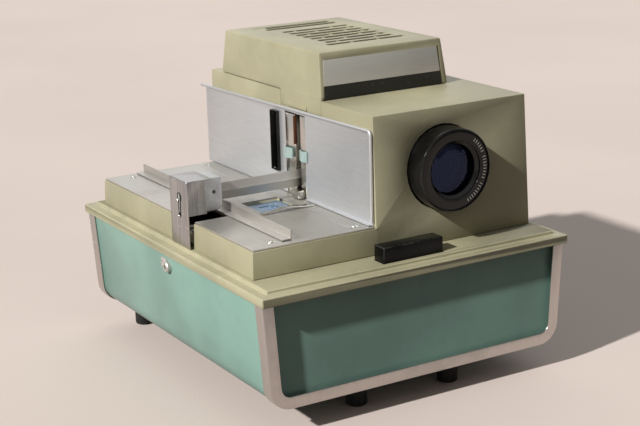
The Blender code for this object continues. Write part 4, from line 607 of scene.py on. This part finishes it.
CERAMIC = Moulded("glazed_ceramic", linear(222, 216, 200), rough=0.25, dust=0.2, rubbed=0)
BROWN = Moulded("brown_fibre", linear(104, 66, 44), rough=0.5, dust=0.2)
WHITE = Moulded("engraved_white", linear(212, 210, 200), rough=0.5, dust=0, rubbed=0)
BRASS = Metal("lamp_brass", linear(186, 156, 92), run=Run.Z, rough=0.3, tarnish=0.4)
FILAMENT = Metal("filament_tungsten", linear(120, 118, 116), run=Run.CAST, rough=0.4)
PLATE = Split("bare_front_plate", linear(208, 207, 200))
AQUA = Translucent("aqua_plastic", linear(176, 198, 194))
# Coated lens glass: its dark blue base colour is painted shade standing in for the lens's dark
# inside; the blue sheen is its coating
LENS_GLASS = Glass("coated_glass", linear(10, 12, 24), index=1.8, coated=linear(150, 172, 240))
CLEAR = Glass("clear_glass", linear(250, 250, 248))
LAMP_GLASS = Glass("lamp_glass", linear(246, 246, 240), rough=0.03)
GREEN_GLASS = Glass("heat_glass", linear(214, 240, 226))
GROUND = Floor("pale_floor", linear(209, 196, 189))


# Mesh tools

def mm(*sizes: float) -> Vector:
    """A place or a size that is given in millimetres."""
    return Vector(sizes) * MM


def stand(name: str, data: bpy.types.ID) -> Object:
    """Put an object of some data in the scene.

    Args:
        name: The object's name.
        data: Its mesh, light or camera.

    Returns:
        The object.
    """
    made = bpy.data.objects.new(name, data)
    bpy.context.scene.collection.objects.link(made)
    return made


def link(mesh: Mesh, name: str, finish: Finish | None, body: str) -> Object:
    """Put a mesh in the scene as a piece that rides on a body.

    Args:
        mesh: The piece's mesh, in place.
        name: The piece's name.
        finish: The finish, or None where the mesh has its own.
        body: The body that it moves with.

    Returns:
        The piece.
    """
    mesh.name = name
    made = stand(name, mesh)
    if finish:
        mesh.materials.clear()
        mesh.materials.append(finish.material())
    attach(made, body)
    LOG.info("%s: %d faces on %s", name, len(mesh.polygons), body)
    return made


def smooth(mesh: Mesh, angle: float = SHARP_ANGLE) -> None:
    """Shade a mesh smooth up to an angle in degrees."""
    mesh.polygons.foreach_set("use_smooth", [True] * len(mesh.polygons))
    mesh.set_sharp_from_angle(angle=radians(angle))


def from_bmesh(form: BMesh, angle: float = SHARP_ANGLE) -> Mesh:
    """Turn a bmesh into a mesh with outward faces.

    Args:
        form: The bmesh, which is freed.
        angle: Edges sharper than this stay sharp, in degrees.

    Returns:
        The mesh.
    """
    bmesh.ops.recalc_face_normals(form, faces=form.faces)
    mesh = bpy.data.meshes.new("form")
    form.to_mesh(mesh)
    form.free()
    smooth(mesh, angle)
    return mesh


def box_mesh(form: BMesh, low: Point, high: Point, round_by: float = 0) -> None:
    """Add a box with rounded edges to a bmesh.

    Args:
        form: The bmesh to add to.
        low: Lowest corner.
        high: Highest corner.
        round_by: Radius of its edges.
    """
    made = bmesh.ops.create_cube(form, size=1)["verts"]
    middle = (Vector(low) + Vector(high)) / 2
    size = Vector(high) - Vector(low)
    for vert in made:
        vert.co = middle + Vector(c * s for c, s in zip(vert.co, size))
    if round_by:
        edges = {edge for vert in made for edge in vert.link_edges}
        bmesh.ops.bevel(form, geom=list(edges), offset=round_by, segments=2, profile=0.5,
                        affect="EDGES", clamp_overlap=True)


def lathe(form: BMesh, profile: Outline, centre: Point, axis: str = "Y",
          steps: int = 64) -> None:
    """Turn a closed outline about an axis, all in millimetres.

    Args:
        form: The bmesh to add to.
        profile: Radius and height of each corner, in order.
        centre: Where height 0 is.
        axis: The axis it is turned about.
        steps: Corners of each ring.
    """
    rings = []
    for step in range(steps):
        angle = 2 * pi * step / steps
        ring = []
        for radius, height in profile:
            side, up = radius * cos(angle), radius * sin(angle)
            point = {"X": (height, side, up), "Y": (side, height, up),
                     "Z": (side, up, height)}[axis]
            ring.append(form.verts.new((Vector(centre) + Vector(point)) * MM))
        rings.append(ring)
    count = len(profile)
    for step in range(steps):
        now, then = rings[step], rings[(step + 1) % steps]
        for index in range(count):
            after = (index + 1) % count
            form.faces.new([now[index], now[after], then[after], then[index]])
    bmesh.ops.remove_doubles(form, verts=[v for ring in rings for v in ring], dist=1e-7)


def combine(mesh: Mesh, tool: Mesh, operation: str) -> Mesh:
    """Join a mesh with another, or cut the other away.

    Args:
        mesh: The mesh that is kept.
        tool: The other mesh.
        operation: UNION or DIFFERENCE.

    Returns:
        The new mesh.
    """
    pair = [stand("pair", data) for data in (mesh, tool)]
    modifier = pair[0].modifiers.new("combine", "BOOLEAN")
    modifier.solver = "EXACT"
    modifier.operation = operation
    modifier.object = pair[1]
    bpy.context.view_layer.update()
    graph = bpy.context.evaluated_depsgraph_get()
    joined = bpy.data.meshes.new_from_object(pair[0].evaluated_get(graph))
    for made in pair:
        bpy.data.objects.remove(made)
    return joined


def soften(node: Object, name: str, width: float, finish: Finish,
           changes: tuple[tuple[Mesh, str], ...] = ()) -> None:
    """Stand a copy with rounded edges in place of a node.

    Args:
        node: The node whose form is kept.
        name: The copy's name.
        width: Radius of its edges in metres.
        finish: The copy's finish.
        changes: Meshes that are joined or cut away afterwards, each with its operation.
    """
    form = bmesh.new()
    mark = form.faces.layers.float.new("edge")
    form.from_mesh(node.data)
    bmesh.ops.remove_doubles(form, verts=form.verts, dist=WELD)
    bmesh.ops.dissolve_limit(form, angle_limit=radians(FLAT_ANGLE), verts=form.verts,
                             edges=form.edges)
    chosen = [edge for edge in form.edges
              if len(edge.link_faces) == 2 and edge.calc_face_angle(0) > radians(EDGE_ANGLE)]
    made = bmesh.ops.bevel(form, geom=chosen, offset=width, segments=2, profile=0.5,
                           affect="EDGES", clamp_overlap=True, loop_slide=False,
                           miter_outer="SHARP")
    for face in made["faces"]:
        face[mark] = 1
    bmesh.ops.triangulate(form, faces=[face for face in form.faces if len(face.verts) > 4])
    mesh = bpy.data.meshes.new(name)
    form.to_mesh(mesh)
    form.free()
    for tool, operation in changes:
        mesh = combine(mesh, tool, operation)
    smooth(mesh, SOFT_ANGLE)
    piece = link(mesh, name, finish, node["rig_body"])
    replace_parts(piece, node["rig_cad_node"])


# Screw heads

def points_mesh(points: list[Point], aim: Point) -> Mesh:
    """A mesh of loose points that all face the same way.

    Args:
        points: The places.
        aim: The way that they face.

    Returns:
        The mesh, with a vector attribute named aim.
    """
    mesh = bpy.data.meshes.new("points")
    mesh.from_pydata(points, [], [])
    ways = mesh.attributes.new("aim", "FLOAT_VECTOR", "POINT")
    for way in ways.data:
        way.vector = aim
    return mesh


class SlottedHeads(Tree):
    """Domed heads with a straight slot, in one Geometry Nodes tree that all pieces share."""

    def __init__(self) -> None:
        """Write the tree, which sets heads on points that have an aim."""
        super().__init__(bpy.data.node_groups.new("slotted_heads", "GeometryNodeTree"))
        face = self.tree.interface
        face.new_socket("Geometry", in_out="OUTPUT", socket_type="NodeSocketGeometry")
        self.keys = {}
        for label, kind in (("Geometry", "NodeSocketGeometry"), ("Radius", "NodeSocketFloat"),
                            ("Slot", "NodeSocketFloat"), ("Finish", "NodeSocketMaterial")):
            made = face.new_socket(label, in_out="INPUT", socket_type=kind)
            self.keys[label] = made.identifier
        given = self.node("NodeGroupInput").outputs
        radius = Value(self, given["Radius"])
        ball = self.node("GeometryNodeMeshUVSphere", inputs={
            "Segments": 28, "Rings": 14, "Radius": radius})
        dome = self.node("GeometryNodeTransform", inputs={
            "Geometry": ball.outputs[0], "Scale": (1, 1, HEAD_RISE)})
        size = self.node("ShaderNodeCombineXYZ", inputs={
            0: radius * 3, 1: given["Slot"], 2: radius * 0.5})
        blade = self.node("GeometryNodeMeshCube", inputs={"Size": size.outputs[0]})
        up = self.node("ShaderNodeCombineXYZ", inputs={2: radius * HEAD_RISE})
        raised = self.node("GeometryNodeTransform", inputs={
            "Geometry": blade.outputs[0], "Translation": up.outputs[0],
            "Rotation": (0, 0, SLOT_TURN)})
        head = self.node("GeometryNodeMeshBoolean", {"operation": "DIFFERENCE"},
                         {"Mesh 1": dome.outputs[0], "Mesh 2": raised.outputs[0]})
        aim = self.node("GeometryNodeInputNamedAttribute", {"data_type": "FLOAT_VECTOR"},
                        {"Name": "aim"})
        turn = self.node("FunctionNodeAlignRotationToVector", {"axis": "Z"},
                         {"Vector": aim.outputs[0]})
        heads = self.node("GeometryNodeInstanceOnPoints", inputs={
            "Points": given["Geometry"], "Instance": head.outputs[0],
            "Rotation": turn.outputs[0]})
        real = self.node("GeometryNodeRealizeInstances", inputs={0: heads.outputs[0]})
        dressed = self.node("GeometryNodeSetMaterial", inputs={
            0: real.outputs[0], "Material": given["Finish"]})
        self.node("NodeGroupOutput", inputs={0: dressed.outputs[0]})

    def grow(self, name: str, points: Mesh, finish: Finish, body: str,
             radius: float) -> None:
        """Grow one plain mesh piece of heads from points.

        Args:
            name: The piece's name.
            points: The mesh whose points carry the heads.
            finish: The heads' finish.
            body: The body that the piece moves with.
            radius: Radius of a head in metres.
        """
        seed = stand(name + "_seed", points)
        modifier = seed.modifiers.new("growth", "NODES")
        modifier.node_group = self.tree
        for label, value in (("Finish", finish.material()), ("Radius", radius),
                             ("Slot", radius * SLOT_SHARE)):
            modifier[self.keys[label]] = value
        bpy.context.view_layer.update()
        graph = bpy.context.evaluated_depsgraph_get()
        mesh = bpy.data.meshes.new_from_object(seed.evaluated_get(graph))
        bpy.data.objects.remove(seed)
        smooth(mesh)
        link(mesh, name, None if mesh.materials else finish, body)


# The projector

@dataclass
class Bench:
    """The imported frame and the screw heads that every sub-assembly uses."""

    nodes: dict[str, Object]
    heads: SlottedHeads

    def dress(self, finish: Finish, *names: str) -> None:
        """Give nodes a finish, each in its own place.

        Args:
            finish: The finish.
            *names: The nodes.
        """
        for name in names:
            node = self.nodes[name]
            for slot in node.material_slots:
                slot.material = finish.material()
            LOG.info("%s: %s", name, finish.name)

    def soften(self, name: str, width: float, finish: Finish) -> None:
        """Stand a softened copy in place of a node.

        Args:
            name: The node.
            width: Radius of its edges in millimetres.
            finish: The finish.
        """
        soften(self.nodes[name], name + "_form", width * MM, finish)

    @staticmethod
    def blocks(name: str, finish: Finish, body: str, corners: list[tuple[Point, Point]],
               round_by: float = 0) -> None:
        """Make one piece of boxes, in millimetres.

        Args:
            name: The piece's name.
            finish: Its finish.
            body: The body that it moves with.
            corners: Lowest and highest corner of each box.
            round_by: Radius of the edges.
        """
        form = bmesh.new()
        for low, high in corners:
            box_mesh(form, mm(*low), mm(*high), round_by * MM)
        link(from_bmesh(form), name, finish, body)

    def screws(self, name: str, body: str, points: list[Point], aim: Point, radius: float,
               finish: Finish = ZINC) -> None:
        """Set slotted heads on a face.

        Args:
            name: The piece's name.
            body: The body that they move with.
            points: Their places on the face, in millimetres.
            aim: The way they face.
            radius: Radius of a head in millimetres.
            finish: Their finish.
        """
        places = points_mesh([mm(*point) for point in points], aim)
        self.heads.grow(name, places, finish, body, radius * MM)


@dataclass
class Case:
    """The teal case with its panels, trims, deck and keepers."""

    bench: Bench
    floor: float = 20.4
    screw: float = 3.2
    wall: float = 116.8
    plate: Outline = ((1.8, 79.2), (10.2, 87))
    plate_rise: float = 1.1
    boss: Pair = (0.2, 81.7)
    boss_form: Outline = (
        (AXLE, 0.4), (1.7, 0.4), (1.9, 3), (3.1, 3), (3.9, 2.2), (4.1, 0), (AXLE, 0))
    rivets: Outline = ((7.6, 81.2), (7.6, 85))
    rivet_form: Outline = ((AXLE, 0), (1, 0), (0.8, 0.5), (AXLE, 0.7))
    hollow_form: Outline = ((AXLE, 0), (1.72, 0), (1.72, 0.2), (AXLE, 0.2))

    def build(self) -> None:
        """Dress the case and set its screws."""
        bench = self.bench
        bench.soften("case_shell", 0.5, TEAL)
        bench.dress(TEAL, "front_panel", "rear_panel")
        bench.soften("front_trim", 0.3, TRIM)
        bench.soften("rear_trim", 0.3, TRIM)
        bench.soften("deck", 0.7, OLIVE)
        self.keeper(-1, "keeper_left")
        self.keeper(1, "keeper_right")
        corners = [(x, y, self.floor) for x in (-88, 88) for y in (-96, 96)]
        bench.screws("floor_screws", "base", corners, (0, 0, -1), self.screw)

    def keeper(self, side: int, node: str) -> None:
        """Make a lid keeper: a thin riveted plate and a hollow round boss beside it.

        Args:
            side: -1 on the left of the case, 1 on the right.
            node: The node that it stands for.
        """
        def turned(form: BMesh, outline: Outline, out: float, place: Pair,
                   steps: int) -> None:
            """Turn an outline that stands out from this side of the case."""
            lathe(form, tuple((radius, side * rise) for radius, rise in outline),
                  (side * (self.wall + out), *place), "X", steps)

        form = bmesh.new()
        low, high = sorted((side * self.wall, side * (self.wall + self.plate_rise)))
        box_mesh(form, mm(low, *self.plate[0]), mm(high, *self.plate[1]), 0.3 * MM)
        turned(form, self.boss_form, 0, self.boss, 40)
        for rivet in self.rivets:
            turned(form, self.rivet_form, self.plate_rise - 0.05, rivet, 20)
        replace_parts(link(from_bmesh(form), node + "_form", KEEPER, "base"), node)
        hollow = bmesh.new()
        turned(hollow, self.hollow_form, 0.45, self.boss, 32)
        link(from_bmesh(hollow), node + "_hollow", BROWN, "base")


@dataclass
class Housing:
    """The cast housing with its platform, and the loose lamp cover on it."""

    bench: Bench
    top: float = 224
    field_low: Pair = (2.2, -19.9)
    field_high: Pair = (76, 86.3)
    field_deep: float = 1.7
    slot_deep: float = 3
    first_row: float = -13.2
    rows: int = 8
    pitch: float = 10.07
    slot: float = 5.6
    bridge: float = 1.4
    sunk: float = 0.35
    plate_heights: Pair = (192.1, 218.7)
    plate_foot: Pair = (-14.1, 83.3)
    plate_head: Pair = (-12.0, 81.5)
    plate_face: float = -43.37
    plate_from: float = 193
    plate_lean: float = 0.1565
    plate_rise: float = 0.3
    plate_sunk: float = 0.15

    def build(self) -> None:
        """Dress the housing and the cover."""
        bench = self.bench
        bench.soften("upper_housing", 0.9, OLIVE)
        soften(bench.nodes["lamp_cover"], "lamp_cover_form", 0.9 * MM, OLIVE,
               changes=self.grille())
        self.front_plate()
        bench.screws("rear_screws", "base", [
            (96, 111.6, 112), (3, 111.6, 112), (92, 110.9, 180), (3, 110.9, 180)],
            (0, 1, 0.06), 2.6)

    def grille(self) -> tuple[tuple[Mesh, str], ...]:
        """The grille as it is seen: a closed field, then rows of slots with sunk bridges.

        Returns:
            The field to join, the slots to cut through and the troughs that sink their bridges.
        """
        field = bmesh.new()
        box_mesh(field, mm(*self.field_low, self.top - self.field_deep),
                 mm(*self.field_high, self.top))
        slots, troughs = bmesh.new(), bmesh.new()
        rows = [(7.6, 72.1, self.first_row, (0.33, 0.67))]
        rows += [(12, 69, self.first_row + self.pitch * row,
                  (0.2, 0.75) if row % 2 else (0.42, 0.9)) for row in range(1, self.rows)]
        rows += [(7.8, 69.2, 74.6, ()), (11.7, 67.6, 82.4, ())]
        for left, right, y, bridges in rows:
            front, back = y - self.slot / 2, y + self.slot / 2
            box_mesh(troughs, mm(left, front, self.top - self.sunk), mm(right, back, self.top + 1))
            middles = [left + (right - left) * share for share in bridges]
            starts = [left] + [middle + self.bridge / 2 for middle in middles]
            ends = [middle - self.bridge / 2 for middle in middles] + [right]
            for start, end in zip(starts, ends):
                box_mesh(slots, mm(start, front, self.top - self.slot_deep),
                         mm(end, back, self.top + 1))
        return ((from_bmesh(field), "UNION"), (from_bmesh(slots), "DIFFERENCE"),
                (from_bmesh(troughs), "DIFFERENCE"))

    def front_plate(self) -> None:
        """Set the bare front plate between the cover's slanted edges."""
        form = bmesh.new()
        verts = []
        for z, sides in zip(self.plate_heights, (self.plate_foot, self.plate_head)):
            face = self.plate_face + (z - self.plate_from) * self.plate_lean
            verts += [form.verts.new(mm(x, y, z))
                      for y in (face - self.plate_rise, face + self.plate_sunk) for x in sides]
        for loop in ((0, 1, 5, 4), (3, 2, 6, 7), (1, 3, 7, 5), (2, 0, 4, 6), (4, 5, 7, 6),
                     (2, 3, 1, 0)):
            form.faces.new([verts[i] for i in loop])
        bmesh.ops.bevel(form, geom=list(form.edges), offset=0.12 * MM, segments=2,
                        profile=0.5, affect="EDGES")
        plate = link(from_bmesh(form), "front_plate", PLATE, "cover")
        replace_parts(plate, "cover_plate")


@dataclass
class TrayBed:
    """The open bed on which a slide tray runs, with its liner and springs."""

    bench: Bench
    top: float = 118.4
    spots: Outline = ((-90, -99), (-27.4, -99.6), (-88.6, 114), (-27.4, 114))
    trough_low: Point = (-60.2, -35.1, 115.55)
    trough_high: Point = (-30.8, -2.3, 115.76)
    vent_left: float = -20.4
    vent_right: float = -13.4
    vent_ends: Pair = (13.42, 23.38)
    vent_heights: Pair = (132.42, 175.98)
    shade_lining_wall: float = 0.28
    shade_lining_lap: float = 0.08

    def build(self) -> None:
        """Dress the bed, set its screws and lay a steel plate with a painted sky reflection on the
        trough's floor.
        """
        bench = self.bench
        bench.soften("tray_bed", 0.2, SHEET)
        bench.soften("tray_rail", 0.3, SHEET)
        bench.soften("bay_liner", 0.35, LINER)
        # The blue of the index slide and of the trough plate is a painted sky reflection
        bench.soften("index_slide", 0.25, PAINTED_SKY_STEEL)
        bench.soften("detent_spring", 0.12, POLISHED)
        bench.screws("bed_screws", "base", [(*spot, self.top) for spot in self.spots],
                     (0, 0, 1), 2.6, POLISHED)
        bench.blocks("trough_plate", PAINTED_SKY_STEEL, "base", [(self.trough_low, self.trough_high)])
        self.vent_shade_lining()

    def vent_shade_lining(self) -> None:
        """Line the vent slot with four thin black walls: painted shade, for the inside of the slot
        lies in shade.
        """
        (front, back), (foot, head) = self.vent_ends, self.vent_heights
        wall, lap = self.shade_lining_wall, self.shade_lining_lap
        walls = [((front, foot + lap), (front + wall, head - lap)),
                 ((back - wall, foot + lap), (back, head - lap)),
                 ((front, foot), (back, foot + wall)),
                 ((front, head - wall), (back, head))]
        # Black walls: painted shade inside the vent slot
        self.bench.blocks("vent_shade_lining", BLACK, "base", [
            ((self.vent_left, *low), (self.vent_right, *high)) for low, high in walls], 0.05)


@dataclass
class Gate:
    """The slide gate with its guides, fingers and stop block."""

    bench: Bench
    seal_low: Point = (-19.6, -9.15, 156)
    seal_high: Point = (-16.8, -8.82, 176.5)

    def build(self) -> None:
        """Dress the gate."""
        bench = self.bench
        bench.soften("gate_guide_rear", 0.25, POLISHED)
        bench.soften("gate_guide_front", 0.25, POLISHED)
        bench.dress(AQUA, "gate_finger_rear", "gate_finger_front")
        bench.soften("gate_block", 0.3, NICKEL)
        bench.soften("slide_gate", 0.3, JAPAN)
        bench.blocks("light_seal", BROWN, "base", [(self.seal_low, self.seal_high)], 0.1)


@dataclass
class Changer:
    """The slide changer with its pull, block, arm and runner."""

    bench: Bench
    # Corners of a black sheet behind the keyhole: painted shade for its shaded inside
    keyhole_shade_low: Point = (-110.9, -18, 118.4)
    keyhole_shade_high: Point = (-110.6, -10.4, 138.2)

    def build(self) -> None:
        """Dress the changer and its track."""
        bench = self.bench
        bench.soften("changer_handle", 0.35, PULL)
        bench.soften("changer_block", 0.3, LINER)
        bench.soften("changer_arm", 0.2, SHEET)
        bench.soften("changer_runner", 0.3, NYLON)
        bench.soften("changer_track", 0.3, ZINC)
        # A black sheet behind the keyhole is painted shade
        bench.blocks("keyhole_painted_shade", BLACK, "changer", [(self.keyhole_shade_low, self.keyhole_shade_high)], 0.05)


@dataclass
class Lens:
    """The projection lens, its focus sleeve and the mount in the housing."""

    bench: Bench
    x: float = 37.5
    z: float = 151
    ring_out: float = 26.9
    ring_in: float = 20.3
    ring_face: float = -123.22
    mark: Point = (2.2, 0.06, 0.42)
    mark_out: float = 0.4
    marks: int = 72
    marks_from: float = -1.25
    marks_to: float = 0.95
    bezel_y: float = -120.2
    bezel_form: Outline = (
        (20.2, 0), (20.2, -1.2), (19.6, -1.7), (17.6, -0.2), (17.6, 0.6))
    baffles: Outline = (
        (-109.5, 18.2), (-104.5, 17.2), (-99.5, 16.2), (-94.5, 15.2))
    baffle_wide: float = 1.6
    baffle_thick: float = 0.8
    glass_y: float = -101
    glass_bend: float = 26.5
    glass_thick: float = 2.4
    glass_rings: tuple[float, ...] = (AXLE, 2, 4, 6, 8, 10, 12, 13.6)

    def build(self) -> None:
        """Dress the lens, mark its ring and set the parts behind its front glass."""
        bench = self.bench
        bench.soften("lens_barrel", 0.3, JAPAN)
        bench.soften("lens_front_ring", 0.2, JAPAN)
        bench.dress(LENS_GLASS, "front_glass")
        bench.dress(CLEAR, "rear_glass")
        bench.soften("focus_sleeve", 0.3, ZINC)
        bench.soften("lens_mount", 0.4, BLACK)
        self.scale()
        self.bezel()
        self.element()

    def scale(self) -> None:
        """Set plain short marks round the front ring."""
        form = bmesh.new()
        reach = (self.ring_in + self.ring_out) / 2 + self.mark_out
        for step in range(self.marks):
            angle = 2 * pi * step / self.marks
            around = (angle + pi) % (2 * pi) - pi
            if not self.marks_from < around < self.marks_to or step % 9 == 4:
                continue
            made = bmesh.ops.create_cube(form, size=1)["verts"]
            for vert in made:
                vert.co = mm(*(c * size for c, size in zip(vert.co, self.mark)))
            bmesh.ops.rotate(form, verts=made, matrix=Matrix.Rotation(-angle, 3, "Y"))
            bmesh.ops.translate(form, verts=made, vec=mm(
                self.x + reach * cos(angle), self.ring_face, self.z + reach * sin(angle)))
        link(from_bmesh(form), "ring_marks", WHITE, "lens")

    def bezel(self) -> None:
        """Turn the thin retaining ring round the front glass, and the baffles behind it."""
        form = bmesh.new()
        lathe(form, self.bezel_form, (self.x, self.bezel_y, self.z), steps=96)
        link(from_bmesh(form), "retaining_ring", JAPAN, "lens")
        rings = bmesh.new()
        for depth, radius in self.baffles:
            outer = radius + self.baffle_wide
            lathe(rings, ((outer, 0), (radius, 0), (radius, self.baffle_thick),
                          (outer, self.baffle_thick)), (self.x, depth, self.z), steps=72)
        link(from_bmesh(rings), "baffle_rings", JAPAN, "lens")

    def element(self) -> None:
        """Grind the hollow face of the second glass, which holds the blue arc."""
        form = bmesh.new()
        bend = self.glass_bend
        curve = [(r, bend - sqrt(bend * bend - r * r)) for r in self.glass_rings]
        front = [(r, -rise) for r, rise in curve]
        back = [(r, self.glass_thick - rise) for r, rise in reversed(curve)]
        lathe(form, (*front, *back), (self.x, self.glass_y, self.z), steps=72)
        link(from_bmesh(form, 60), "second_glass", LENS_GLASS, "lens")


@dataclass
class Lighting:
    """Lamp, socket, reflector, condensers and the lamp house."""

    bench: Bench
    x: float = 37.5
    y: float = 62.5
    coils: tuple[float, ...] = (-4.5, -1.5, 1.5, 4.5)
    coil: Point = (1.3, 1.3, 8)
    coil_z: float = 151
    wires: tuple[float, ...] = (-6.4, 6.4)
    wire: Point = (0.7, 0.7, 44)
    wire_z: float = 133
    beams: tuple[float, ...] = (146.6, 155.4)
    beam: Point = (13.5, 0.7, 0.7)

    def build(self) -> None:
        """Dress the lamp house and hang the filament."""
        bench = self.bench
        bench.dress(ZINC, "condenser_cell", "lamp_bracket")
        bench.dress(CLEAR, *[n for n in bench.nodes if n.startswith("condenser_")
                             and n != "condenser_cell"])
        bench.dress(GREEN_GLASS, "heat_glass")
        bench.dress(HEAT, "lamp_house")
        bench.dress(LAMP_GLASS, "lamp_bulb")
        bench.dress(BRASS, "lamp_base")
        bench.dress(CERAMIC, "lamp_socket")
        bench.dress(MIRROR, "reflector")
        self.filament()

    def filament(self) -> None:
        """Hang the filament coils on two support wires inside the bulb."""
        def around(middle: Pair, size: Point) -> tuple[Point, Point]:
            """Corners of a box about a place beside the lamp's axis and a height."""
            centre = (self.x + middle[0], self.y, middle[1])
            return (tuple(c - s / 2 for c, s in zip(centre, size)),
                    tuple(c + s / 2 for c, s in zip(centre, size)))

        for name, places, size in (
                ("filament", [(side, self.coil_z) for side in self.coils], self.coil),
                ("support_wires", [(side, self.wire_z) for side in self.wires], self.wire),
                ("filament_beams", [(0, height) for height in self.beams], self.beam)):
            self.bench.blocks(name, FILAMENT, "base", [around(place, size) for place in places])


@dataclass
class Underside:
    """Blower, motor, legs, elevation bar and what they hang on."""

    bench: Bench

    def build(self) -> None:
        """Dress the parts in and under the case."""
        bench = self.bench
        bench.soften("release_bar", 0.5, BAR)
        bench.dress(SPRING, "release_spring")
        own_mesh(bench.nodes["release_spring"])
        bench.dress(ZINC, "bar_hanger", "motor_cradle")
        bench.soften("leg_frame", 0.3, ZINC)
        for name in bench.nodes:
            if "foot" in name:
                bench.soften(name, 0.6, RUBBER)
            if name.startswith("leg_bush"):
                bench.dress(NICKEL, name)
        bench.dress(BLACK, "fan_shroud", "fan_motor")
        bench.dress(SHEET, "fan_rotor")


@dataclass
class Electrics:
    """Power inlet and rotary switch on the rear panel."""

    bench: Bench
    knob: Pair = (25, 50)
    face: float = 131.98
    dots: tuple[float, ...] = (40, 90, 140)
    reach: float = 14
    dot_form: Outline = ((AXLE, 0), (0.9, 0), (0.9, 0.12), (AXLE, 0.12))

    def build(self) -> None:
        """Dress the inlet and the switch and mark the knob."""
        bench = self.bench
        bench.soften("power_inlet", 0.4, BLACK)
        bench.dress(BLACK, "switch_body")
        bench.soften("switch_knob", 0.4, BLACK)
        self.marks()

    def marks(self) -> None:
        """Set white dots for the switch's places on the rear panel."""
        form = bmesh.new()
        for turn in self.dots:
            side, up = self.reach * cos(radians(turn)), self.reach * sin(radians(turn))
            lathe(form, self.dot_form, (self.knob[0] + side, self.face, self.knob[1] + up),
                  steps=24)
        link(from_bmesh(form), "switch_marks", WHITE, "base")


# Studio

@dataclass
class Studio:
    """Floor, light and the camera at the photograph's place."""

    eye: Point = (-0.5348, -0.9138, 0.3934)
    yaw: float = 30.593
    pitch: float = 15.466
    roll: float = -1.646
    focal: float = 85.37
    sun_from: Point = (-0.80, -0.17, 0.58)
    sun_strength: float = 4.45
    sun_spread: float = 2.2
    sun_colour: Colour = (1, 0.98, 0.945)
    fill_from: Point = (0.55, 0.62, 0.56)
    fill_strength: float = 0.7
    fill_spread: float = 80
    fill_shine: float = 0.1
    sky: float = 0.17
    overhead: float = 0.27
    floor_radius: float = 9

    def build(self) -> None:
        """Lay the floor, hang the lights and set the camera."""
        self.floor()
        self.lights()
        self.surround()
        self.camera()
        bpy.context.scene.view_settings.view_transform = "Standard"

    def floor(self) -> None:
        """Lay a wide round floor."""
        form = bmesh.new()
        bmesh.ops.create_circle(form, cap_ends=True, segments=96, radius=self.floor_radius)
        mesh = bpy.data.meshes.new("floor")
        form.to_mesh(mesh)
        form.free()
        mesh.materials.append(GROUND.material())
        stand("floor", mesh)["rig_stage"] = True

    def lights(self) -> None:
        """Hang a hard key on the left and a soft fill behind on the right."""
        key = self.sun("key", self.sun_from, self.sun_strength, self.sun_spread)
        key.color = self.sun_colour
        fill = self.sun("fill", self.fill_from, self.fill_strength, self.fill_spread)
        fill.specular_factor = self.fill_shine

    @staticmethod
    def sun(name: str, way: Point, strength: float, spread: float) -> bpy.types.Light:
        """Hang a far light.

        Args:
            name: Its name.
            way: The way to it from the object.
            strength: Its strength.
            spread: How wide it looks, in degrees.

        Returns:
            The light.
        """
        light = bpy.data.lights.new(name, "SUN")
        light.energy = strength
        light.angle = radians(spread)
        lamp = stand(name, light)
        lamp.rotation_mode = "QUATERNION"
        lamp.rotation_quaternion = Vector(way).to_track_quat("Z", "Y")
        return light

    def surround(self) -> None:
        """Set one surround for mirrors, one for matt faces and one behind the object."""
        world = bpy.data.worlds.new("surround")
        bpy.context.scene.world = world
        world.use_nodes = True
        tree = Tree(world.node_tree)
        path = tree.node("ShaderNodeLightPath")
        seen = Value(tree, path.outputs["Is Camera Ray"])
        mirrored = Value(tree, path.outputs["Is Glossy Ray"])
        through = Value(tree, path.outputs["Is Transmission Ray"])
        way = tree.node("ShaderNodeSeparateXYZ", inputs={
            0: tree.node("ShaderNodeTexCoord").outputs["Generated"]})
        left, ahead, up = (Value(tree, way.outputs[i]) for i in range(3))
        open_sky = up.smooth(-0.05, 0.75) * 0.34 + (left * -1).smooth(0.05, 0.8) * 0.3
        open_sky = open_sky + ahead.smooth(-0.2, 0.6) * 0.22
        above = up.smooth(0.1, 0.8) * self.overhead + ahead.smooth(-0.1, 0.7) * 0.12 + 0.02
        light = tree.node("ShaderNodeBackground", inputs={
            "Color": linear(*DAYLIGHT),
            "Strength": mirrored * (open_sky + self.sky) + (1 - mirrored) * above})
        back = tree.node("ShaderNodeBackground", inputs={
            "Color": GROUND.colour, "Strength": 1.0})
        world_shader = tree.node("ShaderNodeMixShader", inputs={
            0: seen.most(through), 1: light.outputs[0], 2: back.outputs[0]})
        tree.node("ShaderNodeOutputWorld", inputs={0: world_shader.outputs[0]})

    def camera(self) -> None:
        """Stand the camera where the photograph was taken from."""
        turn, dip, roll = radians(self.yaw), radians(self.pitch), radians(self.roll)
        ahead = Vector((sin(turn) * cos(dip), cos(turn) * cos(dip), -sin(dip)))
        right = Vector((cos(turn), -sin(turn), 0))
        up = right.cross(ahead)
        side = right * cos(roll) + up * sin(roll)
        top = up * cos(roll) - right * sin(roll)
        data = bpy.data.cameras.new("camera")
        data.sensor_width = 36
        data.lens = self.focal
        data.clip_start = 0.01
        frame = Matrix((side, top, -ahead)).transposed().to_4x4()
        frame.translation = self.eye
        made = stand("camera", data)
        made.matrix_world = frame
        bpy.context.scene.camera = made


def corners() -> list[list[float]]:
    """The model's lowest and highest corners as plain numbers."""
    return [list(corner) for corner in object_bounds()]


def main() -> None:
    """Build every sub-assembly on the frame in order."""
    logging.basicConfig(level=logging.INFO, format="%(name)s: %(message)s")
    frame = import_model()
    bench = Bench(frame["nodes"], SlottedHeads())
    Studio().build()
    for part in (Case, Housing, TrayBed, Gate, Changer, Lens, Lighting, Underside, Electrics):
        part(bench).build()
        LOG.info("%s is dressed", part.__name__)


if __name__ == "__main__":
    main()
